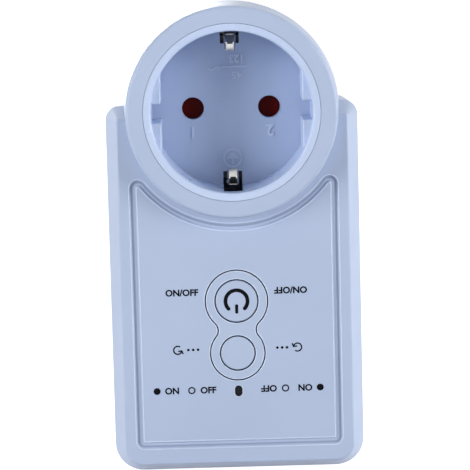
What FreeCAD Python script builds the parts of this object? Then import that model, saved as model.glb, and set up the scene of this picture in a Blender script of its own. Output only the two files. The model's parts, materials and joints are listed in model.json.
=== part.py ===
"""Plug-in mains adapter with a round earthed socket, two push buttons and a network-controlled relay.

Row frame in millimetres: X to the right, Z up, the socket faces -Y. The origin is the centre of the rear
plug's end face, on the axis that the socket and the plug share.
"""
import FreeCAD, Part
import math
import os
import re

import Sketcher

Vector = FreeCAD.Vector

# Driving sizes
SIZES = {
    # case
    "nose_length": 17.0,
    "case_depth": 40.0,
    "collar_height": 5.5,
    "edge_depth": 7.3,
    "edge_slope": 2.9,
    "collar_margin": 4.55,
    "top_rise": 1.5,
    "foot_margin": 7.1,
    "low_corner": 7.0,
    "high_corner": 3.5,
    "wall": 2.0,
    "back_draft": 0.6,
    "back_round": 1.2,
    "collar_lip": 5.0,
    "collar_slope": 0.9,
    "collar_round": 0.9,
    "collar_wall": 2.5,
    "face_round": 0.5,
    # fits
    "drop_in_gap": 0.1,
    "slide_gap": 0.15,
    "running_gap": 0.05,
    "free_gap": 0.3,
    # how far a cutter starts or ends outside what it cuts, and a boss or post sinks into its wall
    "overrun": 1.0,
    "root": 0.5,
    # tongue that lines the two covers up
    "tongue_gap": 0.2,
    "tongue_thickness": 1.2,
    "tongue_height": 2.0,
    "ledge_height": 4.0,
    # panel groove
    "groove_inset": 5.85,
    "groove_collar_gap": 1.3,
    "groove_foot": 13.8,
    "groove_width": 1.2,
    "groove_depth": 0.4,
    "groove_head": 1.9,
    "groove_corner": 1.7,
    "groove_lip": 0.25,
    # socket cup
    "rim_radius": 19.6,
    "cup_wall": 1.9,
    "rim_drop": 0.5,
    "rim_round": 0.6,
    "socket_depth": 17.5,
    "floor_thickness": 2.6,
    "lip_depth": 2.2,
    "flange_border": 2.2,
    "flange_depth": 2.0,
    "guide_thickness": 2.4,
    "guide_setback": 2.8,
    "guide_round": 0.35,
    "notch_width": 4.6,
    "pin_pitch": 19.0,
    "hole_radius": 2.75,
    "slot_width": 4.7,
    "slot_inset": 3.7,
    "ear_out": 0.9,
    "ear_drop": 13.5,
    "ear_radius": 2.9,
    "ear_thickness": 2.0,
    "ear_standoff": 2.5,
    "ear_corner": 2.3,
    "ear_boss_rim": 0.3,
    "hole_bottom": 0.4,
    # plug
    "nose_setback": 1.3,
    "nose_play": 0.2,
    "nose_wall": 4.3,
    "nose_end": 3.5,
    "nose_round": 0.8,
    "nose_border": 2.3,
    "nose_flange": 2.0,
    "pin_radius": 2.4,
    "pin_length": 19.0,
    "pin_tip": 1.2,
    "pin_seat": 1.0,
    "pin_root": 0.3,
    "pin_root_radius": 2.6,
    "shank_radius": 2.0,
    "rivet_radius": 3.0,
    "rivet_height": 1.4,
    "earth_strip_width": 4.2,
    "earth_strip_thickness": 0.8,
    "side_groove_depth": 1.8,
    # contact carrier
    "carrier_gap": 3.5,
    "tab_inset": 4.0,
    "tab_root": 0.4,
    "pocket_radius": 13.7,
    "contact_front_wall": 2.0,
    "contact_radius": 3.3,
    "contact_slit": 1.0,
    "contact_tail": 1.8,
    "tab_width": 4.8,
    "tab_thickness": 0.8,
    "carrier_screw_x": 12.0,
    "carrier_screw_z": 12.5,
    # shutter
    "shutter_thickness": 1.5,
    "shutter_front_gap": 0.25,
    "shutter_back_gap": 0.3,
    "lobe_margin": 0.55,
    "arm_width": 4.0,
    "pivot_radius": 1.5,
    "hub_radius": 3.2,
    "tab_height": 8.5,
    "shutter_tab": 2.4,
    "spring_radius": 0.7,
    "spring_wire": 0.3,
    "spring_turns": 6,
    "spring_stop": 9.2,
    "spring_stop_width": 1.5,
    # earth clips
    "clip_width": 3.0,
    "clip_thickness": 0.6,
    "clip_inset": 1.0,
    "clip_bulge_inset": 5.2,
    "clip_bulge_depth": 9.0,
    "clip_tip_inset": 1.4,
    "clip_tip_gap": 0.6,
    "clip_seat": 0.2,
    "bridge_seat": 0.5,
    # button surround, buttons and light guide
    "power_below_groove": 19.0,
    "button_gap": 3.7,
    "lamp_below_reset": 9.5,
    "upper_rim": 2.5,
    "lower_rim": 2.53,
    "surround_waist": 4.65,
    "surround_flange": 1.0,
    "surround_border": 0.7,
    "power_radius": 5.15,
    "reset_radius": 4.15,
    "button_proud": 0.15,
    "button_round": 0.3,
    "button_flange": 0.8,
    "button_border": 0.8,
    "button_travel": 0.3,
    "stem_radius": 1.6,
    "guide_width": 1.75,
    "guide_height": 2.65,
    "guide_border": 0.5,
    "guide_flange": 0.8,
    "pill_share": 0.95,
    # board
    "board_standoff": 7.0,
    "board_thickness": 1.6,
    "board_inset": 5.15,
    "board_collar_gap": 0.4,
    "board_foot_gap": 13.5,
    "board_corner": 1.0,
    "board_screw_inset": 2.6,
    "board_screw_setback": 3.0,
    "board_boss_radius": 2.6,
    "switch_side": 6.0,
    "switch_height": 3.4,
    "plunger_radius": 1.7,
    "plunger_proud": 0.8,
    "lamp_radius": 1.5,
    "lamp_height": 3.0,
    # screws
    "case_screw_inset": 7.95,
    "case_screw_high": 21.0,
    "case_screw_rise": 8.3,
    "case_boss_radius": 3.2,
    "case_post_radius": 4.2,
    "case_screw_radius": 1.4,
    "case_head_radius": 2.7,
    "case_head_height": 2.0,
    "case_screw_length": 14.0,
    "case_screw_bite": 4.0,
    "small_screw_radius": 1.0,
    "small_head_radius": 2.0,
    "small_head_height": 1.4,
    "small_screw_bite": 4.0,
    "ear_screw_bite": 3.2,
    "thread_gap": 0.02,
    "recess_share": 0.6,
    "recess_half_width": 0.28,
    # card
    "card_length": 25.0,
    "card_width": 15.0,
    "card_thickness": 0.76,
    "card_setback": 1.35,
    "card_slot_width": 17.0,
    "card_slot_height": 1.8,
    "card_slot_round": 0.7,
    "card_round": 1.0,
    "holder_wall": 0.3,
    "holder_base": 0.5,
    # rest of the inside
    "spacer_radius": 1.3,
    "spacer_x": 17.0,
    "spacer_z": 6.7,
    "wire_way_x": 7.2,
    "wire_way_half": 2.4,
    "wire_way_rise": 3.0,
    "wire_way_depth": 2.5,
    "strip_setback": 1.0,
    "clip_rise": 2.3,
    "clip_hook": 0.9,
    "surround_round": 0.2,
    "plunger_seat": 1.0,
    "lamp_foot": 0.8,
    "lamp_dome": 1.05,
    "lamp_rim": 0.3,
    "card_corner": 3.0,
    "pad_setback": 3.0,
    "input_pad_x": 11.0,
    "output_pad_x": 18.5,
    # parts on the board
    "part_gap": 0.8,
    "row_setback": 10.0,
    "foot_gap": 1.05,
    "can_edge_gap": 2.0,
    "can_setback": 6.4,
    "can_round": 0.8,
    "small_can_round": 0.6,
    "fuse_round": 0.5,
    "relay_edge_gap": 5.5,
    "module_edge_gap": 1.0,
    "module_gap": 2.5,
    "shield_inset": 0.75,
    "bobbin_height": 2.0,
    "winding_width": 7.4,
    "winding_height": 11.2,
    "core_rise": 5.9,
    "choke_flange": 1.2,
    "choke_groove": 0.6,
    "relay_width": 28.5,
    "relay_rise": 12.5,
    "relay_height": 15.7,
    "transformer_screw_gap": 0.6,
    "transformer_rise": 13.0,
    "transformer_height": 14.0,
    "input_can_radius": 5.0,
    "input_can_height": 16.0,
    "output_can_radius": 3.15,
    "output_can_height": 11.0,
    "film_width": 13.0,
    "film_rise": 6.0,
    "film_height": 12.0,
    "varistor_width": 9.0,
    "varistor_rise": 4.2,
    "varistor_height": 10.5,
    "fuse_radius": 4.1,
    "fuse_height": 8.0,
    "rectifier_width": 6.5,
    "rectifier_rise": 4.8,
    "rectifier_height": 2.6,
    "choke_radius": 2.9,
    "choke_height": 8.0,
    "module_width": 20.0,
    "module_rise": 18.0,
    "module_board": 1.0,
    "shield_height": 2.2,
    "chip_x": 14.0,
    "chip_drop": 58.0,
    "chip_side": 7.0,
    "chip_height": 1.4,
    "regulator_side": 6.5,
    "regulator_height": 1.8,
    "antenna_length": 34.0,
    "antenna_width": 8.0,
    "antenna_thickness": 0.8,
    "antenna_foot": 10.3,
    # wires
    "wire_radius": 1.0,
    "wire_lift": 0.1,
    "wire_on_tab_inset": 1.7,
    "wire_bend": 4.0,
    "lead_radius": 0.55,
    "lead_inset": 7.0,
    "lead_above": 6.0,
    "lead_rise": 5.0,
    "lead_on_antenna": 3.0,
}

# Places and fits worked out from the driving sizes
PLACES = {
    "back_y": "-nose_length",
    "front_y": "back_y - case_depth",
    "face_y": "front_y + collar_height",
    "seam_y": "face_y + edge_depth",
    "face_inside_y": "face_y + wall",
    "back_inside_y": "back_y - wall",
    "lip_y": "front_y + lip_depth",
    "guide_y": "front_y + guide_setback",
    "floor_y": "front_y + socket_depth",
    "floor_back_y": "floor_y + floor_thickness",
    "pin_x": "pin_pitch / 2",
    "slot_start_y": "lip_y + flange_depth + slide_gap",
    "pocket_depth": "shutter_front_gap + shutter_thickness + shutter_back_gap",
    "pocket_y": "floor_back_y + pocket_depth",
    "shutter_y": "floor_back_y + shutter_front_gap",
    "nose_front_y": "back_inside_y - nose_flange",
    "carrier_back_y": "nose_front_y - carrier_gap",
    "contact_y": "pocket_y + contact_front_wall",
    "cup_radius": "rim_radius + cup_wall",
    "flange_radius": "cup_radius + flange_border",
    "collar_radius": "cup_radius + drop_in_gap + collar_lip",
    "half_width": "collar_radius + collar_margin",
    "guide_flat": "rim_radius - guide_thickness",
    "slot_reach": "rim_radius - slot_inset",
    "ear_x": "cup_radius + ear_out",
    "nose_radius": "rim_radius - nose_setback",
    "nose_flat": "guide_flat - nose_play",
    "nose_hollow": "nose_radius - nose_wall",
    "nose_flange_radius": "nose_radius + nose_border",
    "carrier_radius": "cup_radius - free_gap",
    "tab_reach": "carrier_radius - tab_inset",
    "lobe_radius": "hole_radius + lobe_margin",
    "clip_root": "rim_radius - clip_inset",
    "clip_bulge": "rim_radius - clip_bulge_inset",
    "clip_tip": "rim_radius - clip_tip_inset",
    "clip_tip_y": "slot_start_y + clip_thickness + clip_tip_gap",
    "earth_in": "slot_reach",
    "earth_out": "slot_reach + earth_strip_thickness",
    "groove_arc": "collar_radius + groove_collar_gap",
    "groove_half_width": "half_width - groove_inset",
    "power_drop": "groove_arc + power_below_groove",
    "button_pitch": "power_radius + button_gap + reset_radius",
    "reset_drop": "power_drop + button_pitch",
    "lamp_drop": "reset_drop + lamp_below_reset",
    "groove_drop": "lamp_drop + groove_foot",
    "bottom_drop": "groove_drop + foot_margin",
    "surround_upper": "power_radius + upper_rim",
    "surround_lower": "reset_radius + lower_rim",
    "waist_upper": "surround_upper ^ 2 - surround_waist ^ 2",
    "waist_lower": "surround_lower ^ 2 - surround_waist ^ 2",
    "waist_drop": "(button_pitch ^ 2 + waist_upper - waist_lower) / (2 * button_pitch)",
    "waist_lean": "(surround_upper - surround_lower) / button_pitch",
    "waist_span": "2 * (surround_upper - surround_waist) - 2 * waist_drop * waist_lean",
    "waist_rest": "waist_drop ^ 2 - waist_upper",
    "waist_root": "sqrt(waist_span ^ 2 - 4 * waist_lean ^ 2 * waist_rest)",
    "surround_blend": "2 * waist_rest / (waist_span + waist_root)",
    "board_y": "face_inside_y + board_standoff",
    "board_back_y": "board_y + board_thickness",
    "surround_back_y": "face_inside_y + surround_flange",
    "plunger_y": "board_y - switch_height - plunger_proud",
    "ear_y": "face_inside_y + ear_standoff",
    "ear_back_y": "ear_y + ear_thickness",
    "hollow_radius": "collar_radius - collar_wall",
    "lamp_tip_y": "board_y - lamp_height",
    "card_y": "board_back_y + holder_base + slide_gap",
    "post_front_y": "seam_y + drop_in_gap",
    "head_y": "seam_y - case_screw_bite + case_screw_length",
    "thread_radius": "small_screw_radius + thread_gap",
    "tongue_inset": "wall + edge_slope * tongue_height / edge_depth + tongue_gap",
    "case_screw_x": "half_width - case_screw_inset",
    "case_screw_low": "bottom_drop - case_screw_rise",
    "board_half_width": "half_width - board_inset",
    "board_top": "collar_radius + board_collar_gap",
    "board_bottom": "bottom_drop - board_foot_gap",
    "board_screw_x": "board_half_width - board_screw_inset",
    "board_screw_high": "board_top + board_screw_setback",
    "board_screw_low": "board_bottom - board_screw_setback",
    "wire_on_tab_y": "carrier_back_y + wire_radius + wire_lift",
    "wire_on_tab_x": "tab_reach - wire_on_tab_inset",
    "pad_drop": "board_top + pad_setback",
    "rivet_y": "-nose_end - rivet_height",
    "flange_edge": "nose_flange_radius + wire_radius / 2",
    "below_flange": "nose_flange_radius + 6 * wire_radius",
    "below_carrier": "carrier_radius + wire_bend",
    "antenna_drop": "bottom_drop - antenna_foot",
    "shield_back_y": "board_back_y + module_board + shield_height",
    "lead_y": "back_inside_y - antenna_thickness - lead_radius",
    # rows and columns of the parts on the board, each part beside the one before it
    "row_drop": "board_top + row_setback",
    "input_can_x": "board_half_width - can_edge_gap - input_can_radius",
    "input_can_drop": "board_top + can_setback + input_can_radius",
    "fuse_x": "input_can_x - input_can_radius - part_gap - fuse_radius",
    "varistor_x": "fuse_x - fuse_radius - part_gap - varistor_width / 2",
    "film_x": "varistor_x - varistor_width / 2 - part_gap - film_width / 2",
    "card_end": "half_width - card_setback",
    "card_drop": "input_can_drop + input_can_radius + part_gap + holder_wall + slide_gap + card_width / 2",
    "holder_left": "card_end - card_length - 2 * holder_wall",
    "module_x": "module_edge_gap + module_width / 2 - board_half_width",
    "module_drop": "row_drop + film_rise / 2 + module_gap + module_rise / 2",
    "column_x": "(module_x + module_width / 2 + holder_left) / 2",
    "rectifier_drop": "row_drop + film_rise / 2 + part_gap + rectifier_rise / 2",
    "choke_drop": "rectifier_drop + rectifier_rise / 2 + part_gap + choke_radius",
    "output_can_drop": "choke_drop + choke_radius + part_gap + output_can_radius",
    "relay_x": "relay_edge_gap + relay_width / 2 - board_half_width",
    "relay_drop": "board_bottom - foot_gap - relay_rise / 2",
    "transformer_left": "relay_x + relay_width / 2 + part_gap",
    "transformer_right": "board_screw_x - small_head_radius - transformer_screw_gap",
    "transformer_width": "transformer_right - transformer_left",
    "transformer_x": "(transformer_left + transformer_right) / 2",
    "transformer_drop": "board_bottom - foot_gap - transformer_rise / 2",
}

doc = FreeCAD.newDocument("smart_plug")


def fill_sheet(name, rows):
    """One row for each value: its name, its value or formula, and its alias."""
    sheet = doc.addObject("Spreadsheet::Sheet", name)
    for line, (alias, value) in enumerate(rows.items(), 1):
        sheet.set(f"A{line}", alias)
        sheet.set(f"B{line}", str(value))
        sheet.setAlias(f"B{line}", alias)
    return sheet


def bound(formula):
    """The formula with each size or place named with the sheet that holds it."""

    def with_sheet(word):
        name = word[0]
        if name in SIZES:
            return "Sizes." + name
        return "Places." + name if name in PLACES else name

    return re.sub(r"[A-Za-z_]\w*", with_sheet, str(formula))


sizes = fill_sheet("Sizes", SIZES)
places = fill_sheet("Places", {name: "=" + bound(text) for name, text in PLACES.items()})
doc.recompute()


def number(formula):
    """What the formula gives for the present sizes."""
    value = sizes.evalExpression(bound(formula))
    return float(getattr(value, "Value", value))


def point(across, along, up):
    return Vector(number(across), number(along), number(up))


def tie(thing, prop, formula):
    thing.setExpression(prop, bound(formula))


def place(thing, across="0", along="0", up="0"):
    for axis, formula in zip("xyz", (across, along, up)):
        tie(thing, f"Placement.Base.{axis}", formula)
    return thing


NEAR = 1e-4  # points closer than this are the same point

# Sketches and features of bodies
FACING = "XZ_Plane"  # seen from the front: across is X, up is Z, its normal is -Y
TURNING = "XY_Plane"  # radius along X and depth along Y, turned about the Y axis
SIDE = "YZ_Plane"  # depth along Y, up along Z


def new_body(label):
    body = doc.addObject("PartDesign::Body", label)
    body.Label = label
    return body


def new_sketch(body, name, role, depth="0"):
    """A sketch on one of the body's own planes, moved to a depth along Y (facing) or X (side)."""
    sketch = body.newObject("Sketcher::SketchObject", f"{body.Label}_{name}")
    plane = [feature for feature in body.Origin.OriginFeatures if feature.Role == role][0]
    sketch.AttachmentSupport = [(plane, "")]
    sketch.MapMode = "FlatFace"
    sign = "-" if role == FACING else ""
    tie(sketch, "AttachmentOffset.Base.z", f"{sign}({depth})")
    return sketch


def dimension(sketch, constraint, formula):
    index = sketch.addConstraint(constraint)
    tie(sketch, f"Constraints[{index}]", formula)


def pin_point(sketch, geometry, vertex, across, up):
    """Holds a point of the sketch at a distance from the sketch's origin."""
    spot = sketch.getPoint(geometry, vertex)
    dimension(sketch, Sketcher.Constraint("DistanceX", -1, 1, geometry, vertex, spot.x), across)
    dimension(sketch, Sketcher.Constraint("DistanceY", -1, 1, geometry, vertex, spot.y), up)


def add_circle(sketch, radius, across="0", up="0"):
    centre = Vector(number(across), number(up), 0)
    circle = sketch.addGeometry(Part.Circle(centre, Vector(0, 0, 1), number(radius)), False)
    pin_point(sketch, circle, 3, across, up)
    dimension(sketch, Sketcher.Constraint("Radius", circle, number(radius)), radius)


def add_outline(sketch, corners):
    """A closed outline through corners of (across, up) or (across, up, radius)."""
    corners = [tuple(corner) + ("0",) * (3 - len(corner)) for corner in corners]
    spots = [Vector(number(across), number(up), 0) for across, up, _ in corners]
    count = len(spots)
    cuts = []
    for index, spot in enumerate(spots):
        radius = number(corners[index][2])
        before = (spots[index - 1] - spot).normalize()
        after = (spots[(index + 1) % count] - spot).normalize()
        half_angle = before.getAngle(after) / 2
        trim = radius / math.tan(half_angle) if radius else 0.0
        cuts.append((radius, trim, before, after, half_angle))
    lines = []
    for index, spot in enumerate(spots):
        follower = (index + 1) % count
        start = spot + cuts[index][3] * cuts[index][1]
        end = spots[follower] + cuts[follower][2] * cuts[follower][1]
        lines.append(sketch.addGeometry(Part.LineSegment(start, end), False))
    for index, spot in enumerate(spots):
        radius, trim, before, after, half_angle = cuts[index]
        mark = sketch.addGeometry(Part.Point(spot), True)
        pin_point(sketch, mark, 1, corners[index][0], corners[index][1])
        line_in, line_out = lines[index - 1], lines[index]
        if not radius:
            sketch.addConstraint(Sketcher.Constraint("Coincident", line_in, 2, mark, 1))
            sketch.addConstraint(Sketcher.Constraint("Coincident", line_out, 1, mark, 1))
            continue
        inward = (before + after).normalize()
        centre = spot + inward * (radius / math.sin(half_angle))
        start = spot + before * trim
        middle = centre - inward * radius
        arc = sketch.addGeometry(Part.ArcOfCircle(start, middle, spot + after * trim), False)
        first = 1 if (sketch.getPoint(arc, 1) - start).Length < 1e-6 else 2
        sketch.addConstraint(Sketcher.Constraint("Tangent", line_in, 2, arc, first))
        sketch.addConstraint(Sketcher.Constraint("Tangent", line_out, 1, arc, 3 - first))
        dimension(sketch, Sketcher.Constraint("Radius", arc, radius), corners[index][2])
        sketch.addConstraint(Sketcher.Constraint("PointOnObject", mark, 1, line_in))
        sketch.addConstraint(Sketcher.Constraint("PointOnObject", mark, 1, line_out))


def add_box(sketch, left, right, low, high, radius="0"):
    across = ((left, low), (right, low), (right, high), (left, high))
    add_outline(sketch, [(x, z, radius) for x, z in across])


def add_smooth_chain(sketch, pieces):
    """A closed chain of lines and arcs, given end to end in order, each tangent to the next."""
    indices = [sketch.addGeometry(piece, False) for piece in pieces]
    ends = []
    for order, index in enumerate(indices):
        follower = indices[(order + 1) % len(indices)]
        pairs = [(a, b) for a in (1, 2) for b in (1, 2)]

        def apart(pair):
            return (sketch.getPoint(index, pair[0]) - sketch.getPoint(follower, pair[1])).Length

        ends.append((index, follower) + min(pairs, key=apart))
    for index, follower, own_end, next_end in ends:
        sketch.addConstraint(Sketcher.Constraint("Tangent", index, own_end, follower, next_end))
    return indices


def arc_between(centre, radius, start, end, far_side=False):
    """Arc of a circle from start to end, the short way or the long way round."""
    chord_middle = (start + end) * 0.5 - centre
    direction = chord_middle.normalize() * (-1 if far_side else 1)
    return Part.ArcOfCircle(start, centre + direction * radius, end)


def add_flatted_circle(sketch, radius, flat):
    """A circle cut off at x = flat on both sides."""
    big, reach = number(radius), number(flat)
    rise = math.sqrt(big**2 - reach**2)
    signs = ((1, -1), (1, 1), (-1, 1), (-1, -1))
    corners = [Vector(reach * x, rise * z, 0) for x, z in signs]
    right = sketch.addGeometry(Part.LineSegment(corners[0], corners[1]), False)
    top = sketch.addGeometry(Part.ArcOfCircle(corners[1], Vector(0, big, 0), corners[2]), False)
    left = sketch.addGeometry(Part.LineSegment(corners[2], corners[3]), False)
    bottom = sketch.addGeometry(Part.ArcOfCircle(corners[3], Vector(0, -big, 0), corners[0]), False)
    for arc, line_in, line_out in ((top, right, left), (bottom, left, right)):
        near = corners[1] if arc == top else corners[3]
        first = 1 if (sketch.getPoint(arc, 1) - near).Length < 1e-6 else 2
        sketch.addConstraint(Sketcher.Constraint("Coincident", line_in, 2, arc, first))
        sketch.addConstraint(Sketcher.Constraint("Coincident", line_out, 1, arc, 3 - first))
        sketch.addConstraint(Sketcher.Constraint("Coincident", arc, 3, -1, 1))
        dimension(sketch, Sketcher.Constraint("Radius", arc, big), radius)
    for line, side in ((right, ""), (left, "-")):
        sketch.addConstraint(Sketcher.Constraint("Vertical", line))
        spot = sketch.getPoint(line, 1)
        dimension(sketch, Sketcher.Constraint("DistanceX", -1, 1, line, 1, spot.x), f"{side}({flat})")


def add_figure_eight(sketch, grow):
    """Two circles joined by hollow blends: the surround's outline, grown by a distance."""
    upper = Vector(0, number("-power_drop"), 0)
    lower = Vector(0, number("-reset_drop"), 0)
    upper_radius = number(f"surround_upper + ({grow})")
    lower_radius = number(f"surround_lower + ({grow})")
    blend = number(f"surround_blend - ({grow})")
    span = (upper - lower).Length
    to_upper, to_lower = upper_radius + blend, lower_radius + blend
    down = (to_upper**2 - to_lower**2 + span**2) / (2 * span)
    out = math.sqrt(to_upper**2 - down**2)
    right = upper + Vector(out, -down, 0)
    left = upper + Vector(-out, -down, 0)

    def touch(centre, other, radius):
        return centre + (other - centre).normalize() * radius

    upper_right, upper_left = touch(upper, right, upper_radius), touch(upper, left, upper_radius)
    lower_right, lower_left = touch(lower, right, lower_radius), touch(lower, left, lower_radius)
    pieces = [
        Part.ArcOfCircle(upper_right, upper + Vector(0, upper_radius, 0), upper_left),
        arc_between(left, blend, upper_left, lower_left),
        Part.ArcOfCircle(lower_left, lower - Vector(0, lower_radius, 0), lower_right),
        arc_between(right, blend, lower_right, upper_right),
    ]
    top, left_blend, bottom, right_blend = add_smooth_chain(sketch, pieces)
    ends = ((top, "power_drop", "surround_upper"), (bottom, "reset_drop", "surround_lower"))
    for arc, drop, radius in ends:
        pin_point(sketch, arc, 3, "0", f"-{drop}")
        size = number(f"{radius} + ({grow})")
        dimension(sketch, Sketcher.Constraint("Radius", arc, size), f"{radius} + ({grow})")
    for arc in (left_blend, right_blend):
        dimension(sketch, Sketcher.Constraint("Radius", arc, blend), f"surround_blend - ({grow})")


def add_panel_outline(sketch, inset):
    """The panel's outline: straight sides and foot, and a hollow top that follows the collar."""
    side = number(f"groove_half_width - ({inset})")
    foot = number(f"-groove_drop + ({inset})")
    hollow = number(f"groove_arc + ({inset})")
    head = number(f"groove_head - ({inset})")
    corner = number(f"groove_corner - ({inset})")
    head_x = side - head
    head_z = -math.sqrt((hollow + head) ** 2 - head_x**2)

    def mirrored(spot):
        return Vector(-spot.x, spot.y, 0)

    head_centre = Vector(head_x, head_z, 0)
    touch = head_centre * (hollow / (hollow + head))
    side_top, side_foot = Vector(side, head_z, 0), Vector(side, foot + corner, 0)
    foot_end = Vector(side - corner, foot, 0)
    corner_centre = Vector(side - corner, foot + corner, 0)
    over = Vector(head_x, head_z + head, 0)
    pieces = [
        Part.LineSegment(mirrored(foot_end), foot_end),
        arc_between(corner_centre, corner, foot_end, side_foot),
        Part.LineSegment(side_foot, side_top),
        Part.ArcOfCircle(side_top, over, touch),
        Part.ArcOfCircle(touch, Vector(0, -hollow, 0), mirrored(touch)),
        Part.ArcOfCircle(mirrored(touch), mirrored(over), mirrored(side_top)),
        Part.LineSegment(mirrored(side_top), mirrored(side_foot)),
        arc_between(mirrored(corner_centre), corner, mirrored(side_foot), mirrored(foot_end)),
    ]
    chain = add_smooth_chain(sketch, pieces)
    foot_line, low_right, right, high_right, arch, high_left, left, low_left = chain
    sketch.addConstraint(Sketcher.Constraint("Horizontal", foot_line))
    sketch.addConstraint(Sketcher.Constraint("Vertical", right))
    sketch.addConstraint(Sketcher.Constraint("Vertical", left))
    spot = sketch.getPoint(foot_line, 1)
    dimension(
        sketch, Sketcher.Constraint("DistanceY", -1, 1, foot_line, 1, spot.y), f"-groove_drop + ({inset})"
    )
    for line, sign in ((right, ""), (left, "-")):
        spot = sketch.getPoint(line, 1)
        across = f"{sign}(groove_half_width - ({inset}))"
        dimension(sketch, Sketcher.Constraint("DistanceX", -1, 1, line, 1, spot.x), across)
    sketch.addConstraint(Sketcher.Constraint("Coincident", arch, 3, -1, 1))
    dimension(sketch, Sketcher.Constraint("Radius", arch, hollow), f"groove_arc + ({inset})")
    for arc in (high_right, high_left):
        dimension(sketch, Sketcher.Constraint("Radius", arc, head), f"groove_head - ({inset})")
    for arc in (low_right, low_left):
        dimension(sketch, Sketcher.Constraint("Radius", arc, corner), f"groove_corner - ({inset})")


def pad(body, sketch, length, backwards=False, taper=None):
    """Solid from the sketch, towards the front (-Y) or backwards (+Y)."""
    feature = body.newObject("PartDesign::Pad", sketch.Label + "_pad")
    feature.Profile = sketch
    tie(feature, "Length", length)
    feature.Reversed = backwards
    if taper:
        tie(feature, "TaperAngle", taper)
    return feature


def pocket(body, sketch, length, forwards=True, taper=None):
    """Hole from the sketch, cut towards the front (-Y) or backwards (+Y)."""
    feature = body.newObject("PartDesign::Pocket", sketch.Label + "_pocket")
    feature.Profile = sketch
    tie(feature, "Length", length)
    feature.Reversed = forwards
    if taper:
        tie(feature, "TaperAngle", taper)
    return feature


def turn(body, sketch, cut=False):
    """Solid or hole turned about the body's Y axis from a sketch of radius and depth."""
    kind = "PartDesign::Groove" if cut else "PartDesign::Revolution"
    feature = body.newObject(kind, sketch.Label + ("_groove" if cut else "_turned"))
    feature.Profile = sketch
    feature.ReferenceAxis = (sketch, ["V_Axis"])
    feature.Angle = 360
    return feature


def turned_body(label, profile):
    """A body turned from corners of (radius, depth) or (radius, depth, rounding)."""
    body = new_body(label)
    sketch = new_sketch(body, "profile", TURNING)
    add_outline(sketch, profile)
    turn(body, sketch)
    return body


def round_edges(body, base, names, radius):
    feature = body.newObject("PartDesign::Fillet", f"{body.Label}_round_{len(body.Group)}")
    feature.Base = (base, names)
    tie(feature, "Radius", radius)
    return feature


def round_face_edges(body, base, depth, radius, half_width="half_width", drop="bottom_drop"):
    """Rounds the edges that lie at a depth, within a half width and a drop."""
    doc.recompute()
    flat, side, foot = number(depth), number(half_width), number(f"-({drop})")

    def on_face(spot):
        return abs(spot.y - flat) < NEAR and abs(spot.x) <= side + NEAR and spot.z >= foot - NEAR

    return round_edges(body, base, edges_where(base.Shape, on_face), radius)


def edges_where(shape, test):
    """Names of the edges whose ends and middle all pass the test."""
    names = []
    for index, edge in enumerate(shape.Edges, 1):
        first, last = edge.FirstParameter, edge.LastParameter
        spots = [edge.valueAt(first + (last - first) * share) for share in (0.02, 0.5, 0.98)]
        if all(test(spot) for spot in spots):
            names.append(f"Edge{index}")
    return names


# Plain solids and booleans
def block(label, x_range, y_range, z_range):
    """A box between two formulas along each axis."""
    thing = doc.addObject("Part::Box", label)
    thing.Label = label
    for prop, (low, high) in zip(("Length", "Width", "Height"), (x_range, y_range, z_range)):
        tie(thing, prop, f"({high}) - ({low})")
    return place(thing, x_range[0], y_range[0], z_range[0])


def rod(label, radius, y_range, across="0", up="0"):
    """A cylinder along Y between two depths."""
    thing = doc.addObject("Part::Cylinder", label)
    thing.Label = label
    thing.Placement = FreeCAD.Placement(Vector(), FreeCAD.Rotation(Vector(1, 0, 0), -90))
    tie(thing, "Radius", radius)
    tie(thing, "Height", f"({y_range[1]}) - ({y_range[0]})")
    return place(thing, across, y_range[0], up)


def join(label, things):
    thing = doc.addObject("Part::MultiFuse", label)
    thing.Label = label
    thing.Shapes = things
    return thing


def subtract(label, base, tools):
    thing = doc.addObject("Part::Cut", label)
    thing.Label = label
    thing.Base = base
    thing.Tool = tools[0] if len(tools) == 1 else join(label + "_cutters", tools)
    return thing


def group(label, things):
    thing = doc.addObject("Part::Compound", label)
    thing.Label = label
    thing.Links = things
    return thing


def keep_shape(label, shape):
    """A piece whose shape no sketch or primitive gives, such as a bent strip or a wire."""
    thing = doc.addObject("Part::Feature", label)
    thing.Label = label
    thing.Shape = shape
    return thing


def soft_path(points, share=0.45):
    """Straight runs joined by tangent arcs, each arc as large as its two runs allow."""
    edges, radii, start = [], [], points[0]
    for before, corner, after in zip(points, points[1:], points[2:]):
        run_in, run_out = corner - before, after - corner
        turn_angle = run_in.getAngle(run_out)
        trim = share * min(run_in.Length, run_out.Length)
        radius = trim / math.tan(turn_angle / 2)
        towards, away = run_in.normalize(), run_out.normalize()
        arc_start, arc_end = corner - towards * trim, corner + away * trim
        inward = (away - towards).normalize()
        middle = corner + inward * (radius / math.cos(turn_angle / 2) - radius)
        edges.append(Part.LineSegment(start, arc_start).toShape())
        edges.append(Part.Arc(arc_start, middle, arc_end).toShape())
        radii.append(radius)
        start = arc_end
    edges.append(Part.LineSegment(start, points[-1]).toShape())
    return Part.Wire(edges), radii


def wire(label, radius, spots):
    """An insulated wire through hand-set spots, held at both ends."""
    points = [point(*spot) for spot in spots]
    path, radii = soft_path(points)
    start = points[0]
    section = Part.Wire([Part.Circle(start, points[1] - start, number(radius)).toShape()])
    solid = path.makePipeShell([section], True, False)
    print(label, "least bend", round(min(radii), 1), "mm, length", round(path.Length, 1), "mm")
    return keep_shape(label, solid)


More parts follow.
